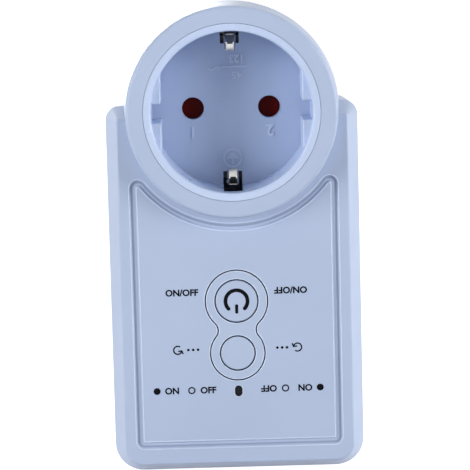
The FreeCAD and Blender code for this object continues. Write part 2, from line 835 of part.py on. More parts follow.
# Front cover
def make_front_cover():
    body = new_body("front_cover")
    slope = "atan(edge_slope / edge_depth)"
    outer = new_sketch(body, "outer", FACING, "seam_y")
    add_outline(outer, case_outline("0"))
    plate = pad(body, outer, "edge_depth", taper=f"-{slope}")
    round_face_edges(body, plate, "face_y", "face_round")
    collar = new_sketch(body, "collar", TURNING)
    front_radius = "collar_radius - collar_slope"
    add_outline(
        collar,
        [
            ("0", "front_y"),
            (front_radius, "front_y", "collar_round"),
            ("collar_radius", "seam_y"),
            ("0", "seam_y"),
        ],
    )
    turn(body, collar)
    hollow = new_sketch(body, "hollow", FACING, "seam_y")
    add_outline(hollow, case_outline("wall"))
    pocket(body, hollow, "edge_depth - wall", taper=f"-{slope}")
    bore = new_sketch(body, "bore", TURNING)
    bore_radius = "cup_radius + drop_in_gap"
    add_outline(
        bore,
        [
            ("0", "front_y - overrun"),
            (bore_radius, "front_y - overrun"),
            (bore_radius, "lip_y"),
            ("hollow_radius", "lip_y"),
            ("hollow_radius", "seam_y + overrun"),
            ("0", "seam_y + overrun"),
        ],
    )
    turn(body, bore, cut=True)
    groove = new_sketch(body, "groove", FACING, "face_y")
    add_panel_outline(groove, "0")
    add_panel_outline(groove, "groove_width")
    carved = pocket(body, groove, "groove_depth", forwards=False)
    side, foot = "groove_half_width + groove_lip", "groove_drop + groove_lip"
    round_face_edges(body, carved, "face_y", "groove_lip", side, foot)
    opening = new_sketch(body, "surround_opening", FACING, "face_y")
    add_figure_eight(opening, "drop_in_gap")
    pocket(body, opening, "wall", forwards=False)
    lamp_hole = new_sketch(body, "lamp_hole", FACING, "face_y")
    add_pill(lamp_hole, "drop_in_gap")
    pocket(body, lamp_hole, "wall", forwards=False)
    add_bosses(body, "board_boss", board_screw_spots(), "board_boss_radius", "board_y", "board_standoff")
    add_bosses(body, "case_boss", case_screw_spots(), "case_boss_radius", "seam_y", "edge_depth - wall")
    add_bosses(body, "ear_boss", ear_spots(), "ear_radius - ear_boss_rim", "ear_y", "ear_standoff")
    board_bite = "small_screw_bite + overrun"
    bore_holes(body, "board_hole", board_screw_spots(), "thread_radius", "board_y", board_bite)
    case_thread = "case_screw_radius + thread_gap"
    bore_holes(body, "case_hole", case_screw_spots(), case_thread, "seam_y", "case_screw_bite + overrun")
    bore_holes(body, "ear_hole", ear_spots(), "thread_radius", "ear_y", "ear_screw_bite + free_gap")
    return body


def case_outline(inset):
    """The case's outline at the seam, moved in by a distance."""
    side = f"half_width - ({inset})"
    foot = f"-bottom_drop + ({inset})"
    head = f"top_rise - ({inset})"
    low = f"low_corner - ({inset})"
    high = f"high_corner - ({inset}) / 2"
    return [(f"-({side})", foot, low), (side, foot, low), (side, head, high), (f"-({side})", head, high)]


def add_pill(sketch, grow):
    """The light guide's rounded outline, grown by a distance."""
    half = f"guide_width / 2 + ({grow})"
    rise = f"guide_height / 2 + ({grow})"
    add_box(
        sketch,
        f"-({half})",
        half,
        f"-lamp_drop - ({rise})",
        f"-lamp_drop + ({rise})",
        f"({half}) * pill_share",
    )


def both_sides(across, drops):
    return [(f"{side}{across}", f"-{drop}") for drop in drops for side in ("", "-")]


def board_screw_spots():
    return both_sides("board_screw_x", ("board_screw_high", "board_screw_low"))


def case_screw_spots():
    return both_sides("case_screw_x", ("case_screw_high", "case_screw_low"))


def ear_spots():
    return both_sides("ear_x", ("ear_drop",))


def add_bosses(body, name, spots, radius, end_y, height):
    """Round bosses that stand on the inside of the face, and end at end_y."""
    sketch = new_sketch(body, name, FACING, end_y)
    for across, up in spots:
        add_circle(sketch, radius, across, up)
    pad(body, sketch, f"{height} + root")


def bore_holes(body, name, spots, radius, start_y, depth):
    sketch = new_sketch(body, name, FACING, start_y)
    for across, up in spots:
        add_circle(sketch, radius, across, up)
    pocket(body, sketch, depth)


# Rear cover
def make_rear_cover():
    body = new_body("rear_cover")
    depth = "back_y - seam_y"
    draft = f"atan(back_draft / ({depth}))"
    outer = new_sketch(body, "outer", FACING, "seam_y")
    add_outline(outer, case_outline("0"))
    shell = pad(body, outer, depth, backwards=True, taper=f"-{draft}")
    round_face_edges(body, shell, "back_y", "back_round")
    drum = new_sketch(body, "drum", TURNING)
    back_radius = "collar_radius - back_draft"
    add_outline(
        drum,
        [
            ("0", "seam_y"),
            ("collar_radius", "seam_y"),
            (back_radius, "back_y", "back_round"),
            ("0", "back_y"),
        ],
    )
    turn(body, drum)
    hollow = new_sketch(body, "hollow", FACING, "seam_y")
    add_outline(hollow, case_outline("wall"))
    pocket(body, hollow, f"{depth} - wall", forwards=False, taper=f"-{draft}")
    drum_hollow = new_sketch(body, "drum_hollow", TURNING)
    add_box(drum_hollow, "0", "hollow_radius", "seam_y - overrun", "back_inside_y")
    turn(body, drum_hollow, cut=True)
    ledge = new_sketch(body, "ledge", FACING, "seam_y")
    add_outline(ledge, three_sides("wall - tongue_gap", "tongue_inset + tongue_thickness"))
    pad(body, ledge, "ledge_height", backwards=True)
    tongue = new_sketch(body, "tongue", FACING, "seam_y + ledge_height")
    add_outline(tongue, three_sides("tongue_inset", "tongue_inset + tongue_thickness"))
    pad(body, tongue, "ledge_height + tongue_height")
    posts = new_sketch(body, "posts", FACING, "post_front_y")
    for across, up in case_screw_spots():
        add_circle(posts, "case_post_radius", across, up)
    pad(body, posts, "back_inside_y - post_front_y + root", backwards=True)
    start, through = "back_y + overrun", f"{depth} + 2 * overrun"
    shank_way, head_way = "case_screw_radius + slide_gap", "case_head_radius + free_gap"
    bore_holes(body, "screw_way", case_screw_spots(), shank_way, start, through)
    bore_holes(body, "head_way", case_screw_spots(), head_way, start, f"{start} - head_y")
    opening = new_sketch(body, "plug_opening", FACING, "back_y + overrun")
    add_flatted_circle(opening, "nose_radius + drop_in_gap", "nose_flat + drop_in_gap")
    pocket(body, opening, "wall + 2 * overrun")
    slot = new_sketch(body, "card_slot", SIDE, "half_width + overrun")
    middle = "card_y + card_thickness / 2"
    add_box(
        slot,
        f"{middle} - card_slot_height / 2",
        f"{middle} + card_slot_height / 2",
        "-card_drop - card_slot_width / 2",
        "-card_drop + card_slot_width / 2",
        "card_slot_round",
    )
    pocket(body, slot, "half_width + overrun - board_half_width", forwards=False)
    return body


def three_sides(outer_inset, inner_inset):
    """A band along the two sides and the foot of the case, between two insets."""
    outer_side, inner_side = f"half_width - ({outer_inset})", f"half_width - ({inner_inset})"
    outer_foot, inner_foot = f"-bottom_drop + ({outer_inset})", f"-bottom_drop + ({inner_inset})"
    outer_corner, inner_corner = f"low_corner - ({outer_inset})", f"low_corner - ({inner_inset})"
    end = "-high_corner"
    return [
        (f"-({outer_side})", end),
        (f"-({outer_side})", outer_foot, outer_corner),
        (outer_side, outer_foot, outer_corner),
        (outer_side, end),
        (inner_side, end),
        (inner_side, inner_foot, inner_corner),
        (f"-({inner_side})", inner_foot, inner_corner),
        (f"-({inner_side})", end),
    ]


# Socket insert
def make_socket_cup():
    flange_back = "lip_y + flange_depth"
    body = turned_body(
        "socket_cup",
        [
            ("0", "guide_y"),
            ("rim_radius", "guide_y"),
            ("rim_radius", "front_y + rim_drop", "rim_round"),
            ("cup_radius", "front_y"),
            ("cup_radius", "lip_y"),
            ("flange_radius", "lip_y"),
            ("flange_radius", flange_back),
            ("cup_radius", flange_back),
            ("cup_radius", "floor_back_y"),
            ("0", "floor_back_y"),
        ],
    )
    recess = new_sketch(body, "recess", FACING, "guide_y - root")
    add_flatted_circle(recess, "rim_radius", "guide_flat")
    pocket(body, recess, "floor_y - guide_y + root", forwards=False)
    notches = new_sketch(body, "notches", FACING, "guide_y - root")
    add_box(notches, "-rim_radius", "rim_radius", "-notch_width / 2", "notch_width / 2")
    cut = pocket(body, notches, "floor_y - guide_y + root", forwards=False)
    doc.recompute()
    flat, setback, floor = number("guide_flat"), number("guide_y"), number("floor_y")
    reach, half_notch = number("rim_radius"), number("notch_width / 2")

    def on_guide_rim(spot):
        at_front = abs(spot.y - setback) < NEAR
        on_flat = abs(abs(spot.x) - flat) < NEAR
        on_notch = abs(abs(spot.z) - half_notch) < NEAR and flat - NEAR < abs(spot.x) < reach
        return (at_front and (on_flat or on_notch)) or (on_flat and on_notch and spot.y < floor + NEAR)

    round_edges(body, cut, edges_where(cut.Shape, on_guide_rim), "guide_round")
    slots = new_sketch(body, "earth_slots", FACING, "floor_back_y + overrun")
    for low, high in (("slot_reach", "cup_radius + overrun"), ("-cup_radius - overrun", "-slot_reach")):
        add_box(slots, "-slot_width / 2", "slot_width / 2", low, high)
    pocket(body, slots, "floor_back_y + overrun - slot_start_y")
    holes = new_sketch(body, "pin_holes", FACING, "floor_y - overrun")
    for across in ("pin_x", "-pin_x"):
        add_circle(holes, "hole_radius", across)
    pocket(body, holes, "floor_thickness + 2 * overrun", forwards=False)
    ears = new_sketch(body, "ears", FACING, "ear_y")
    middle = "((rim_radius + cup_radius) / 2)"
    high, low, out = "ear_drop - ear_radius", "ear_drop + ear_radius", "ear_x + ear_radius"
    for side in ("", "-"):
        corners = [
            (f"{side}sqrt({middle} ^ 2 - ({high}) ^ 2)", f"-({high})"),
            (f"{side}({out})", f"-({high})", "ear_corner"),
            (f"{side}({out})", f"-({low})", "ear_corner"),
            (f"{side}sqrt({middle} ^ 2 - ({low}) ^ 2)", f"-({low})"),
        ]
        add_outline(ears, corners)
    pad(body, ears, "ear_thickness", backwards=True)
    ear_way = "small_screw_radius + slide_gap"
    bore_holes(body, "ear_hole", ear_spots(), ear_way, "ear_back_y + overrun", "ear_thickness + 2 * overrun")
    blind = "floor_thickness - hole_bottom"
    bore_holes(body, "carrier_hole", carrier_spots(), "thread_radius", "floor_back_y", blind)
    return body


def carrier_spots():
    return [("carrier_screw_x", "carrier_screw_z"), ("-carrier_screw_x", "-carrier_screw_z")]


def make_contact_carrier():
    body = turned_body(
        "contact_carrier",
        [
            ("0", "floor_back_y"),
            ("carrier_radius", "floor_back_y"),
            ("carrier_radius", "carrier_back_y"),
            ("0", "carrier_back_y"),
        ],
    )
    shutter_room = new_sketch(body, "shutter_room", FACING, "floor_back_y")
    add_circle(shutter_room, "pocket_radius")
    pocket(body, shutter_room, "pocket_depth", forwards=False)
    stubs = new_sketch(body, "pivot_and_stop", FACING, "floor_back_y")
    add_circle(stubs, "pivot_radius")
    low, high = "tab_height - spring_stop_width", "tab_height + spring_stop_width / 2"
    add_box(stubs, "spring_stop", "spring_stop + spring_stop_width", low, high)
    pad(body, stubs, "pocket_depth + root", backwards=True)
    pin_ways = new_sketch(body, "pin_ways", FACING, "floor_back_y")
    seats = new_sketch(body, "contact_seats", FACING, "carrier_back_y")
    for across in ("pin_x", "-pin_x"):
        add_circle(pin_ways, "hole_radius", across)
        add_circle(seats, "contact_radius + slide_gap", across)
    pocket(body, pin_ways, "carrier_back_y - floor_back_y", forwards=False)
    pocket(body, seats, "carrier_back_y - contact_y")
    notches = new_sketch(body, "earth_notches", FACING, "floor_back_y")
    half = "earth_strip_width / 2 + slide_gap"
    inner, outer = "clip_root - earth_strip_thickness", "carrier_radius + overrun"
    for low, high in ((inner, outer), (f"-({outer})", f"-({inner})")):
        add_box(notches, f"-({half})", half, low, high)
    pocket(body, notches, "carrier_back_y - floor_back_y", forwards=False)
    shank_way, through = "small_screw_radius + slide_gap", "carrier_back_y - floor_back_y + overrun"
    bore_holes(body, "screw_way", carrier_spots(), shank_way, "carrier_back_y", through)
    spacers = new_sketch(body, "spacers", FACING, "carrier_back_y")
    add_circle(spacers, "spacer_radius", "carrier_screw_x", "-carrier_screw_z")
    add_circle(spacers, "spacer_radius", "-carrier_screw_x", "carrier_screw_z")
    add_circle(spacers, "spacer_radius", "spacer_x", "spacer_z")
    add_circle(spacers, "spacer_radius", "-spacer_x", "spacer_z")
    pad(body, spacers, "carrier_gap", backwards=True)
    return body


def make_socket_contact(label, side):
    """Sprung sleeve that grips a pin, with a solder tab that lies on the carrier's back."""
    length = ("contact_y", "carrier_back_y + contact_tail")
    centre = f"{side}pin_x"
    sleeve = rod(label + "_sleeve", "contact_radius", length, centre)
    inner, outer = f"{side}(pin_x + contact_radius - tab_root)", f"{side}tab_reach"
    across = (inner, outer) if side == "" else (outer, inner)
    along = ("carrier_back_y", "carrier_back_y + tab_thickness")
    tab = block(label + "_tab", across, along, ("-tab_width / 2", "tab_width / 2"))
    whole = join(label + "_whole", [sleeve, tab])
    through = ("contact_y - overrun", f"{length[1]} + overrun")
    way = rod(label + "_way", "pin_radius + running_gap", through, centre)
    slit_x = (f"{centre} - contact_slit / 2", f"{centre} + contact_slit / 2")
    slit = block(label + "_slit", slit_x, through, ("0", "contact_radius + overrun"))
    return subtract(label, whole, [way, slit])


def make_shutter():
    along = ("shutter_y", "shutter_y + shutter_thickness")
    pieces = [rod("shutter_hub", "hub_radius", along)]
    for name, across in (("right", "pin_x"), ("left", "-pin_x")):
        pieces.append(rod(f"shutter_{name}_lobe", "lobe_radius", along, across))
    pieces.append(block("shutter_arm", ("-pin_x", "pin_x"), along, ("-arm_width / 2", "arm_width / 2")))
    tab_x = ("-shutter_tab / 2", "shutter_tab / 2")
    pieces.append(block("shutter_tab_arm", tab_x, along, ("0", "tab_height + spring_radius + spring_wire")))
    whole = join("shutter_whole", pieces)
    through = ("shutter_y - overrun", "shutter_y + shutter_thickness + overrun")
    bore = rod("shutter_bore", "pivot_radius + running_gap", through)
    return subtract("shutter", whole, [bore])


def make_shutter_spring():
    """Coil between the shutter's tab and the carrier's stop, lying along X."""
    start, stop = number("shutter_tab / 2"), number("spring_stop")
    radius, wire_radius = number("spring_radius"), number("spring_wire / 2")
    length = stop - start - 2 * wire_radius
    turns = number("spring_turns")
    helix = Part.makeHelix(length / turns, length, radius)
    section = Part.Wire([Part.Circle(Vector(radius, 0, 0), Vector(0, 1, 0), wire_radius).toShape()])
    coil = Part.Wire(helix.Edges).makePipeShell([section], True, True)
    coil.rotate(Vector(), Vector(0, 1, 0), 90)
    coil.translate(point("0", "shutter_y + shutter_thickness / 2", "tab_height"))
    coil.translate(Vector(start + wire_radius, 0, 0))
    return keep_shape("shutter_spring", coil)


# Earth path
def make_earth_bridge():
    half = "earth_strip_width / 2"
    across = (f"-{half}", half)
    edge = "clip_root + clip_thickness / 2"
    back = ("carrier_back_y", "carrier_back_y + earth_strip_thickness")
    pieces = [block("bridge_back", across, back, (f"-({edge})", edge))]
    leg = ("floor_y + bridge_seat", "carrier_back_y")
    inner = "clip_root - clip_thickness / 2"
    leg_x = ("-clip_width / 2", "clip_width / 2")
    pieces.append(block("bridge_upper_leg", leg_x, leg, (inner, edge)))
    pieces.append(block("bridge_lower_leg", leg_x, leg, (f"-({edge})", f"-({inner})")))
    return join("earth_bridge", pieces)


CLIP_BEND = 0.3  # share of a run that each bend of the leaf takes


def make_earth_clip(label, side):
    """Spring leaf that stands in the cup's slot and bulges towards the socket's axis."""
    spots = [
        ("floor_y + clip_seat", "clip_root"),
        ("floor_y - clip_rise", "clip_root"),
        ("front_y + clip_bulge_depth", "clip_bulge"),
        ("clip_tip_y", "clip_tip"),
        ("clip_tip_y - clip_thickness", "clip_tip + clip_hook"),
    ]
    points = [point("0", along, f"{side}({up})") for along, up in spots]
    path, _ = soft_path(points, share=CLIP_BEND)
    half_width, half_thickness = number("clip_width / 2"), number("clip_thickness / 2")
    start = points[0]
    corners = [
        start + Vector(across * half_width, 0, up * half_thickness)
        for across, up in ((-1, -1), (1, -1), (1, 1), (-1, 1), (-1, -1))
    ]
    leaf = path.makePipeShell([Part.makePolygon(corners)], True, False)
    return keep_shape(label, leaf)


# Rear plug
def make_plug_body():
    body = turned_body(
        "plug_body",
        [
            ("0", "nose_front_y"),
            ("nose_flange_radius", "nose_front_y"),
            ("nose_flange_radius", "back_inside_y"),
            ("nose_radius", "back_inside_y"),
            ("nose_radius", "0", "nose_round"),
            ("0", "0"),
        ],
    )
    flats = new_sketch(body, "flats", FACING, "overrun")
    outer = "nose_radius + overrun"
    for left, right in (("nose_flat", outer), (f"-({outer})", "-nose_flat")):
        add_box(flats, left, right, f"-({outer})", outer)
    pocket(body, flats, "overrun - back_inside_y")
    hollow = new_sketch(body, "hollow", FACING, "nose_front_y")
    add_circle(hollow, "nose_hollow")
    pocket(body, hollow, "-nose_front_y - nose_end", forwards=False)
    channels = new_sketch(body, "earth_channels", FACING, "overrun")
    half = "earth_strip_width / 2 + slide_gap"
    outer = "nose_radius + overrun"
    for low, high in (("earth_in", outer), (f"-({outer})", "-earth_in")):
        add_box(channels, f"-({half})", half, low, high)
    pocket(body, channels, "nose_length")
    strip_ways = new_sketch(body, "strip_ways", FACING, "overrun")
    for low, high in (("earth_in", "earth_out + running_gap"), ("-earth_out - running_gap", "-earth_in")):
        add_box(strip_ways, f"-({half})", half, low, high)
    pocket(body, strip_ways, "2 * overrun - nose_front_y")
    grooves = new_sketch(body, "side_grooves", FACING, "overrun")
    inner, outer = "nose_flat - side_groove_depth", "nose_flat + overrun"
    for left, right in ((inner, outer), (f"-({outer})", f"-({inner})")):
        add_box(grooves, left, right, "-notch_width / 2 - slide_gap", "notch_width / 2 + slide_gap")
    pocket(body, grooves, "nose_length")
    pin_spots = [("pin_x", "0"), ("-pin_x", "0")]
    bore_holes(body, "pin_seat", pin_spots, "pin_root_radius + running_gap", "overrun", "pin_seat + overrun")
    through = "nose_end + 2 * overrun"
    bore_holes(body, "shank_way", pin_spots, "shank_radius + running_gap", "overrun", through)
    notches = new_sketch(body, "wire_notches", FACING, "nose_front_y - overrun")
    for middle in ("wire_way_x", "-wire_way_x"):
        left, right = f"{middle} - wire_way_half", f"{middle} + wire_way_half"
        add_box(notches, left, right, "-nose_flange_radius - overrun", "-nose_hollow + wire_way_rise")
    pocket(body, notches, "nose_flange + wire_way_depth", forwards=False)
    return body


def make_plug_pin(label, side):
    """Pin with a thicker root that seats in the nose's end, and a riveted head behind it."""
    body = turned_body(
        label,
        [
            ("0", "pin_length"),
            ("pin_radius", "pin_length", "pin_tip"),
            ("pin_radius", "pin_root"),
            ("pin_root_radius", "pin_root"),
            ("pin_root_radius", "-pin_seat"),
            ("shank_radius", "-pin_seat"),
            ("shank_radius", "-nose_end"),
            ("rivet_radius", "-nose_end"),
            ("rivet_radius", "-nose_end - rivet_height"),
            ("0", "-nose_end - rivet_height"),
        ],
    )
    return place(body, f"{side}pin_x")


def make_plug_earth_strip(label, side):
    half = "earth_strip_width / 2"
    up = ("earth_in", "earth_out") if side == "" else ("-earth_out", "-earth_in")
    return block(label, (f"-{half}", half), ("carrier_back_y + earth_strip_thickness", "-strip_setback"), up)


# Buttons and light
def make_button_surround():
    body = new_body("button_surround")
    plate = new_sketch(body, "plate", FACING, "face_y")
    add_figure_eight(plate, "0")
    solid = pad(body, plate, "surround_back_y - face_y", backwards=True)
    doc.recompute()
    face = number("face_y")
    rim = edges_where(solid.Shape, lambda spot: abs(spot.y - face) < NEAR)
    round_edges(body, solid, rim, "surround_round")
    flange = new_sketch(body, "flange", FACING, "face_inside_y")
    add_figure_eight(flange, "surround_border")
    pad(body, flange, "surround_flange", backwards=True)
    holes = new_sketch(body, "button_holes", FACING, "face_y - overrun")
    add_circle(holes, "power_radius + drop_in_gap", "0", "-power_drop")
    add_circle(holes, "reset_radius + drop_in_gap", "0", "-reset_drop")
    pocket(body, holes, "surround_back_y - face_y + 2 * overrun", forwards=False)
    return body


def make_button(label, radius, drop):
    """Cap, a flange that stops behind the surround, and a stem to its switch."""
    top = "face_y - button_proud"
    flange_y = "surround_back_y + running_gap"
    body = turned_body(
        label,
        [
            ("0", top),
            (radius, top, "button_round"),
            (radius, flange_y),
            (f"{radius} + button_border", flange_y),
            (f"{radius} + button_border", f"{flange_y} + button_flange"),
            ("stem_radius", f"{flange_y} + button_flange"),
            ("stem_radius", "plunger_y"),
            ("0", "plunger_y"),
        ],
    )
    return place(body, "0", "0", f"-{drop}")


def make_switch_body(label, drop):
    half = "switch_side / 2"
    top = "board_y - switch_height"
    rise = (f"-{drop} - {half}", f"-{drop} + {half}")
    case = block(label + "_case", (f"-{half}", half), (top, "board_y"), rise)
    depth = ("plunger_y - overrun", f"{top} + plunger_seat + button_travel + slide_gap")
    way = rod(label + "_way", "plunger_radius + running_gap", depth, "0", f"-{drop}")
    return subtract(label, case, [way])


def make_plunger(label, drop):
    depth = ("plunger_y", "board_y - switch_height + plunger_seat")
    return rod(label, "plunger_radius", depth, "0", f"-{drop}")


def make_light_guide():
    body = new_body("light_guide")
    pill = new_sketch(body, "pill", FACING, "face_y + drop_in_gap")
    add_pill(pill, "0")
    pad(body, pill, "lamp_tip_y - slide_gap - face_y - drop_in_gap", backwards=True)
    flange = new_sketch(body, "flange", FACING, "face_inside_y")
    add_pill(flange, "guide_border")
    pad(body, flange, "guide_flange", backwards=True)
    return body


def make_status_lamp():
    body = turned_body(
        "status_lamp",
        [
            ("0", "lamp_tip_y"),
            ("lamp_radius", "lamp_tip_y", "lamp_dome"),
            ("lamp_radius", "board_y - lamp_foot"),
            ("lamp_radius + lamp_rim", "board_y - lamp_foot"),
            ("lamp_radius + lamp_rim", "board_y"),
            ("0", "board_y"),
        ],
    )
    return place(body, "0", "0", "-lamp_drop")


# Board and what it carries
def make_main_board():
    body = new_body("main_board")
    sketch = new_sketch(body, "outline", FACING, "board_y")
    add_box(sketch, "-board_half_width", "board_half_width", "-board_bottom", "-board_top", "board_corner")
    for across, up in board_screw_spots():
        add_circle(sketch, "small_screw_radius + slide_gap", across, up)
    pad(body, sketch, "board_thickness", backwards=True)
    return body


def on_back(label, across, up, width, rise, height, lift="0"):
    """A box that stands on the board's back, given by its middle."""
    return block(
        label,
        (f"({across}) - {width} / 2", f"({across}) + {width} / 2"),
        (f"board_back_y + {lift}", f"board_back_y + {lift} + {height}"),
        (f"({up}) - {rise} / 2", f"({up}) + {rise} / 2"),
    )


def can_on_back(label, across, up, radius, height, rounding):
    """A round part that stands on the board's back."""
    body = turned_body(
        label,
        [
            ("0", "board_back_y"),
            (radius, "board_back_y"),
            (radius, f"board_back_y + {height}", rounding),
            ("0", f"board_back_y + {height}"),
        ],
    )
    return place(body, across, "0", up)


def make_choke():
    """Drum core: two flanges on a wound middle."""
    profile = [
        ("0", "board_back_y"),
        ("choke_radius", "board_back_y"),
        ("choke_radius", "board_back_y + choke_flange"),
        ("choke_radius - choke_groove", "board_back_y + choke_flange"),
        ("choke_radius - choke_groove", "board_back_y + choke_height - choke_flange"),
        ("choke_radius", "board_back_y + choke_height - choke_flange"),
        ("choke_radius", "board_back_y + choke_height"),
        ("0", "board_back_y + choke_height"),
    ]
    return place(turned_body("choke", profile), "column_x", "0", "-choke_drop")


def make_transformer():
    """Winding between two core halves, on a bobbin that stands on the board."""
    width, rise, height = "transformer_width", "transformer_rise", "transformer_height"
    middle = ("transformer_x", "-transformer_drop")
    bobbin = on_back("transformer_bobbin", *middle, width, rise, "bobbin_height")
    winding = on_back("transformer_winding", *middle, "winding_width", rise, "winding_height")
    core = on_back("transformer_core", *middle, width, "core_rise", height)
    return join("transformer", [bobbin, winding, core])


def make_card_holder():
    room_y = ("card_y - slide_gap", "card_y + card_thickness + slide_gap")
    half = "card_width / 2 + slide_gap"
    outer = f"{half} + holder_wall"
    cage = block(
        "holder_cage",
        ("holder_left", "board_half_width"),
        ("board_back_y", f"{room_y[1]} + holder_wall"),
        (f"-card_drop - ({outer})", f"-card_drop + ({outer})"),
    )
    room = block(
        "holder_room",
        ("holder_left + holder_wall", "board_half_width + overrun"),
        room_y,
        (f"-card_drop - ({half})", f"-card_drop + ({half})"),
    )
    return subtract("card_holder", cage, [room])


def make_sim_card():
    body = new_body("sim_card")
    sketch = new_sketch(body, "outline", FACING, "card_y")
    left, low, high = "card_end - card_length", "-card_drop - card_width / 2", "-card_drop + card_width / 2"
    corners = [
        ("card_end", low, "card_round"),
        ("card_end", high, "card_round"),
        (f"{left} + card_corner", high),
        (left, f"{high} - card_corner"),
        (left, low, "card_round"),
    ]
    add_outline(sketch, corners)
    pad(body, sketch, "card_thickness", backwards=True)
    return body


# Fasteners
def make_screws(label, spots, radius, head_radius, head_height, head_y, length):
    """Identical screws with cross recesses, whose heads lie behind head_y and whose tips point forwards."""
    screws = []
    for order, (across, up) in enumerate(spots, 1):
        name = f"{label}_{order}"
        shank = rod(name + "_shank", radius, (f"({head_y}) - ({length})", head_y), across, up)
        head = rod(name + "_head", head_radius, (head_y, f"({head_y}) + {head_height}"), across, up)
        depth = (f"({head_y}) + {head_height} / 2", f"({head_y}) + {head_height} + overrun")
        long_half, short_half = f"{head_radius} * recess_share", "recess_half_width"
        crossed = (("flat", long_half, short_half), ("tall", short_half, long_half))
        arms = [
            block(
                f"{name}_recess_{turn_name}",
                (f"{across} - {half_x}", f"{across} + {half_x}"),
                depth,
                (f"{up} - {half_z}", f"{up} + {half_z}"),
            )
            for turn_name, half_x, half_z in crossed
        ]
        screws.append(subtract(name, join(name + "_blank", [shank, head]), arms))
    return group(label, screws)


# Wires
def make_wires():
    """Mains wires from the plug pins to the board and from the board to the socket contacts."""
    made = []
    for name, side in (("live", "-"), ("neutral", "")):
        mains_in = [
            (f"{side}pin_x", "rivet_y", "0"),
            (f"{side}pin_x", "rivet_y - wire_bend", "0"),
            (f"{side}(pin_x - wire_radius)", "back_inside_y + 3.5 * wire_radius", "-nose_hollow / 2"),
            (f"{side}wire_way_x", "nose_front_y + 0.2 * wire_radius", "-nose_hollow - wire_radius / 2"),
            (f"{side}(wire_way_x + 0.8 * wire_radius)", "nose_front_y - 1.4 * wire_radius", "-flange_edge"),
            (f"{side}(wire_way_x + 2.3 * wire_radius)", "nose_front_y - 5.5 * wire_radius", "-below_flange"),
            (f"{side}input_pad_x", "nose_front_y - 3 * wire_bend", "-pad_drop"),
            (f"{side}input_pad_x", "board_back_y", "-pad_drop"),
        ]
        made.append(wire(f"{name}_input_wire", "wire_radius", mains_in))
        mains_out = [
            (f"{side}wire_on_tab_x", "wire_on_tab_y", "-tab_width / 2"),
            (f"{side}wire_on_tab_x", "wire_on_tab_y", "-carrier_radius + 4.7 * wire_radius"),
            (f"{side}(output_pad_x - wire_radius)", "carrier_back_y - wire_bend / 2", "-below_carrier"),
            (f"{side}output_pad_x", "carrier_back_y - 2 * wire_bend", "-pad_drop"),
            (f"{side}output_pad_x", "board_back_y", "-pad_drop"),
        ]
        made.append(wire(f"{name}_output_wire", "wire_radius", mains_out))
    return made


def make_antenna_lead():
    """Thin lead from the module's shield, over the relay and along the rear wall to the antenna."""
    on_antenna = "lead_on_antenna - antenna_length / 2"
    spots = [
        ("module_x - lead_inset", "shield_back_y", "lead_above - module_drop"),
        ("module_x - lead_inset", "shield_back_y + lead_rise", "lead_above - module_drop"),
        ("module_x - lead_inset", "lead_y - lead_radius", "-module_drop - lead_rise"),
        (f"(module_x - lead_inset + {on_antenna}) / 2", "lead_y", "-relay_drop"),
        (on_antenna, "lead_y", "-antenna_drop + antenna_width / 2"),
        (on_antenna, "lead_y", "-antenna_drop"),
    ]
    return wire("antenna_lead", "lead_radius", spots)


def make_antenna():
    half = "antenna_length / 2"
    return block(
        "antenna",
        (f"-{half}", half),
        ("back_inside_y - antenna_thickness", "back_inside_y"),
        ("-antenna_drop - antenna_width / 2", "-antenna_drop + antenna_width / 2"),
    )


def finish():
    """Rebuilds the document and stops if any object failed."""
    doc.recompute()
    for thing in doc.Objects:
        if {"Invalid", "Error"} & set(thing.State):
            raise RuntimeError(f"{thing.Label} failed: {thing.State}")


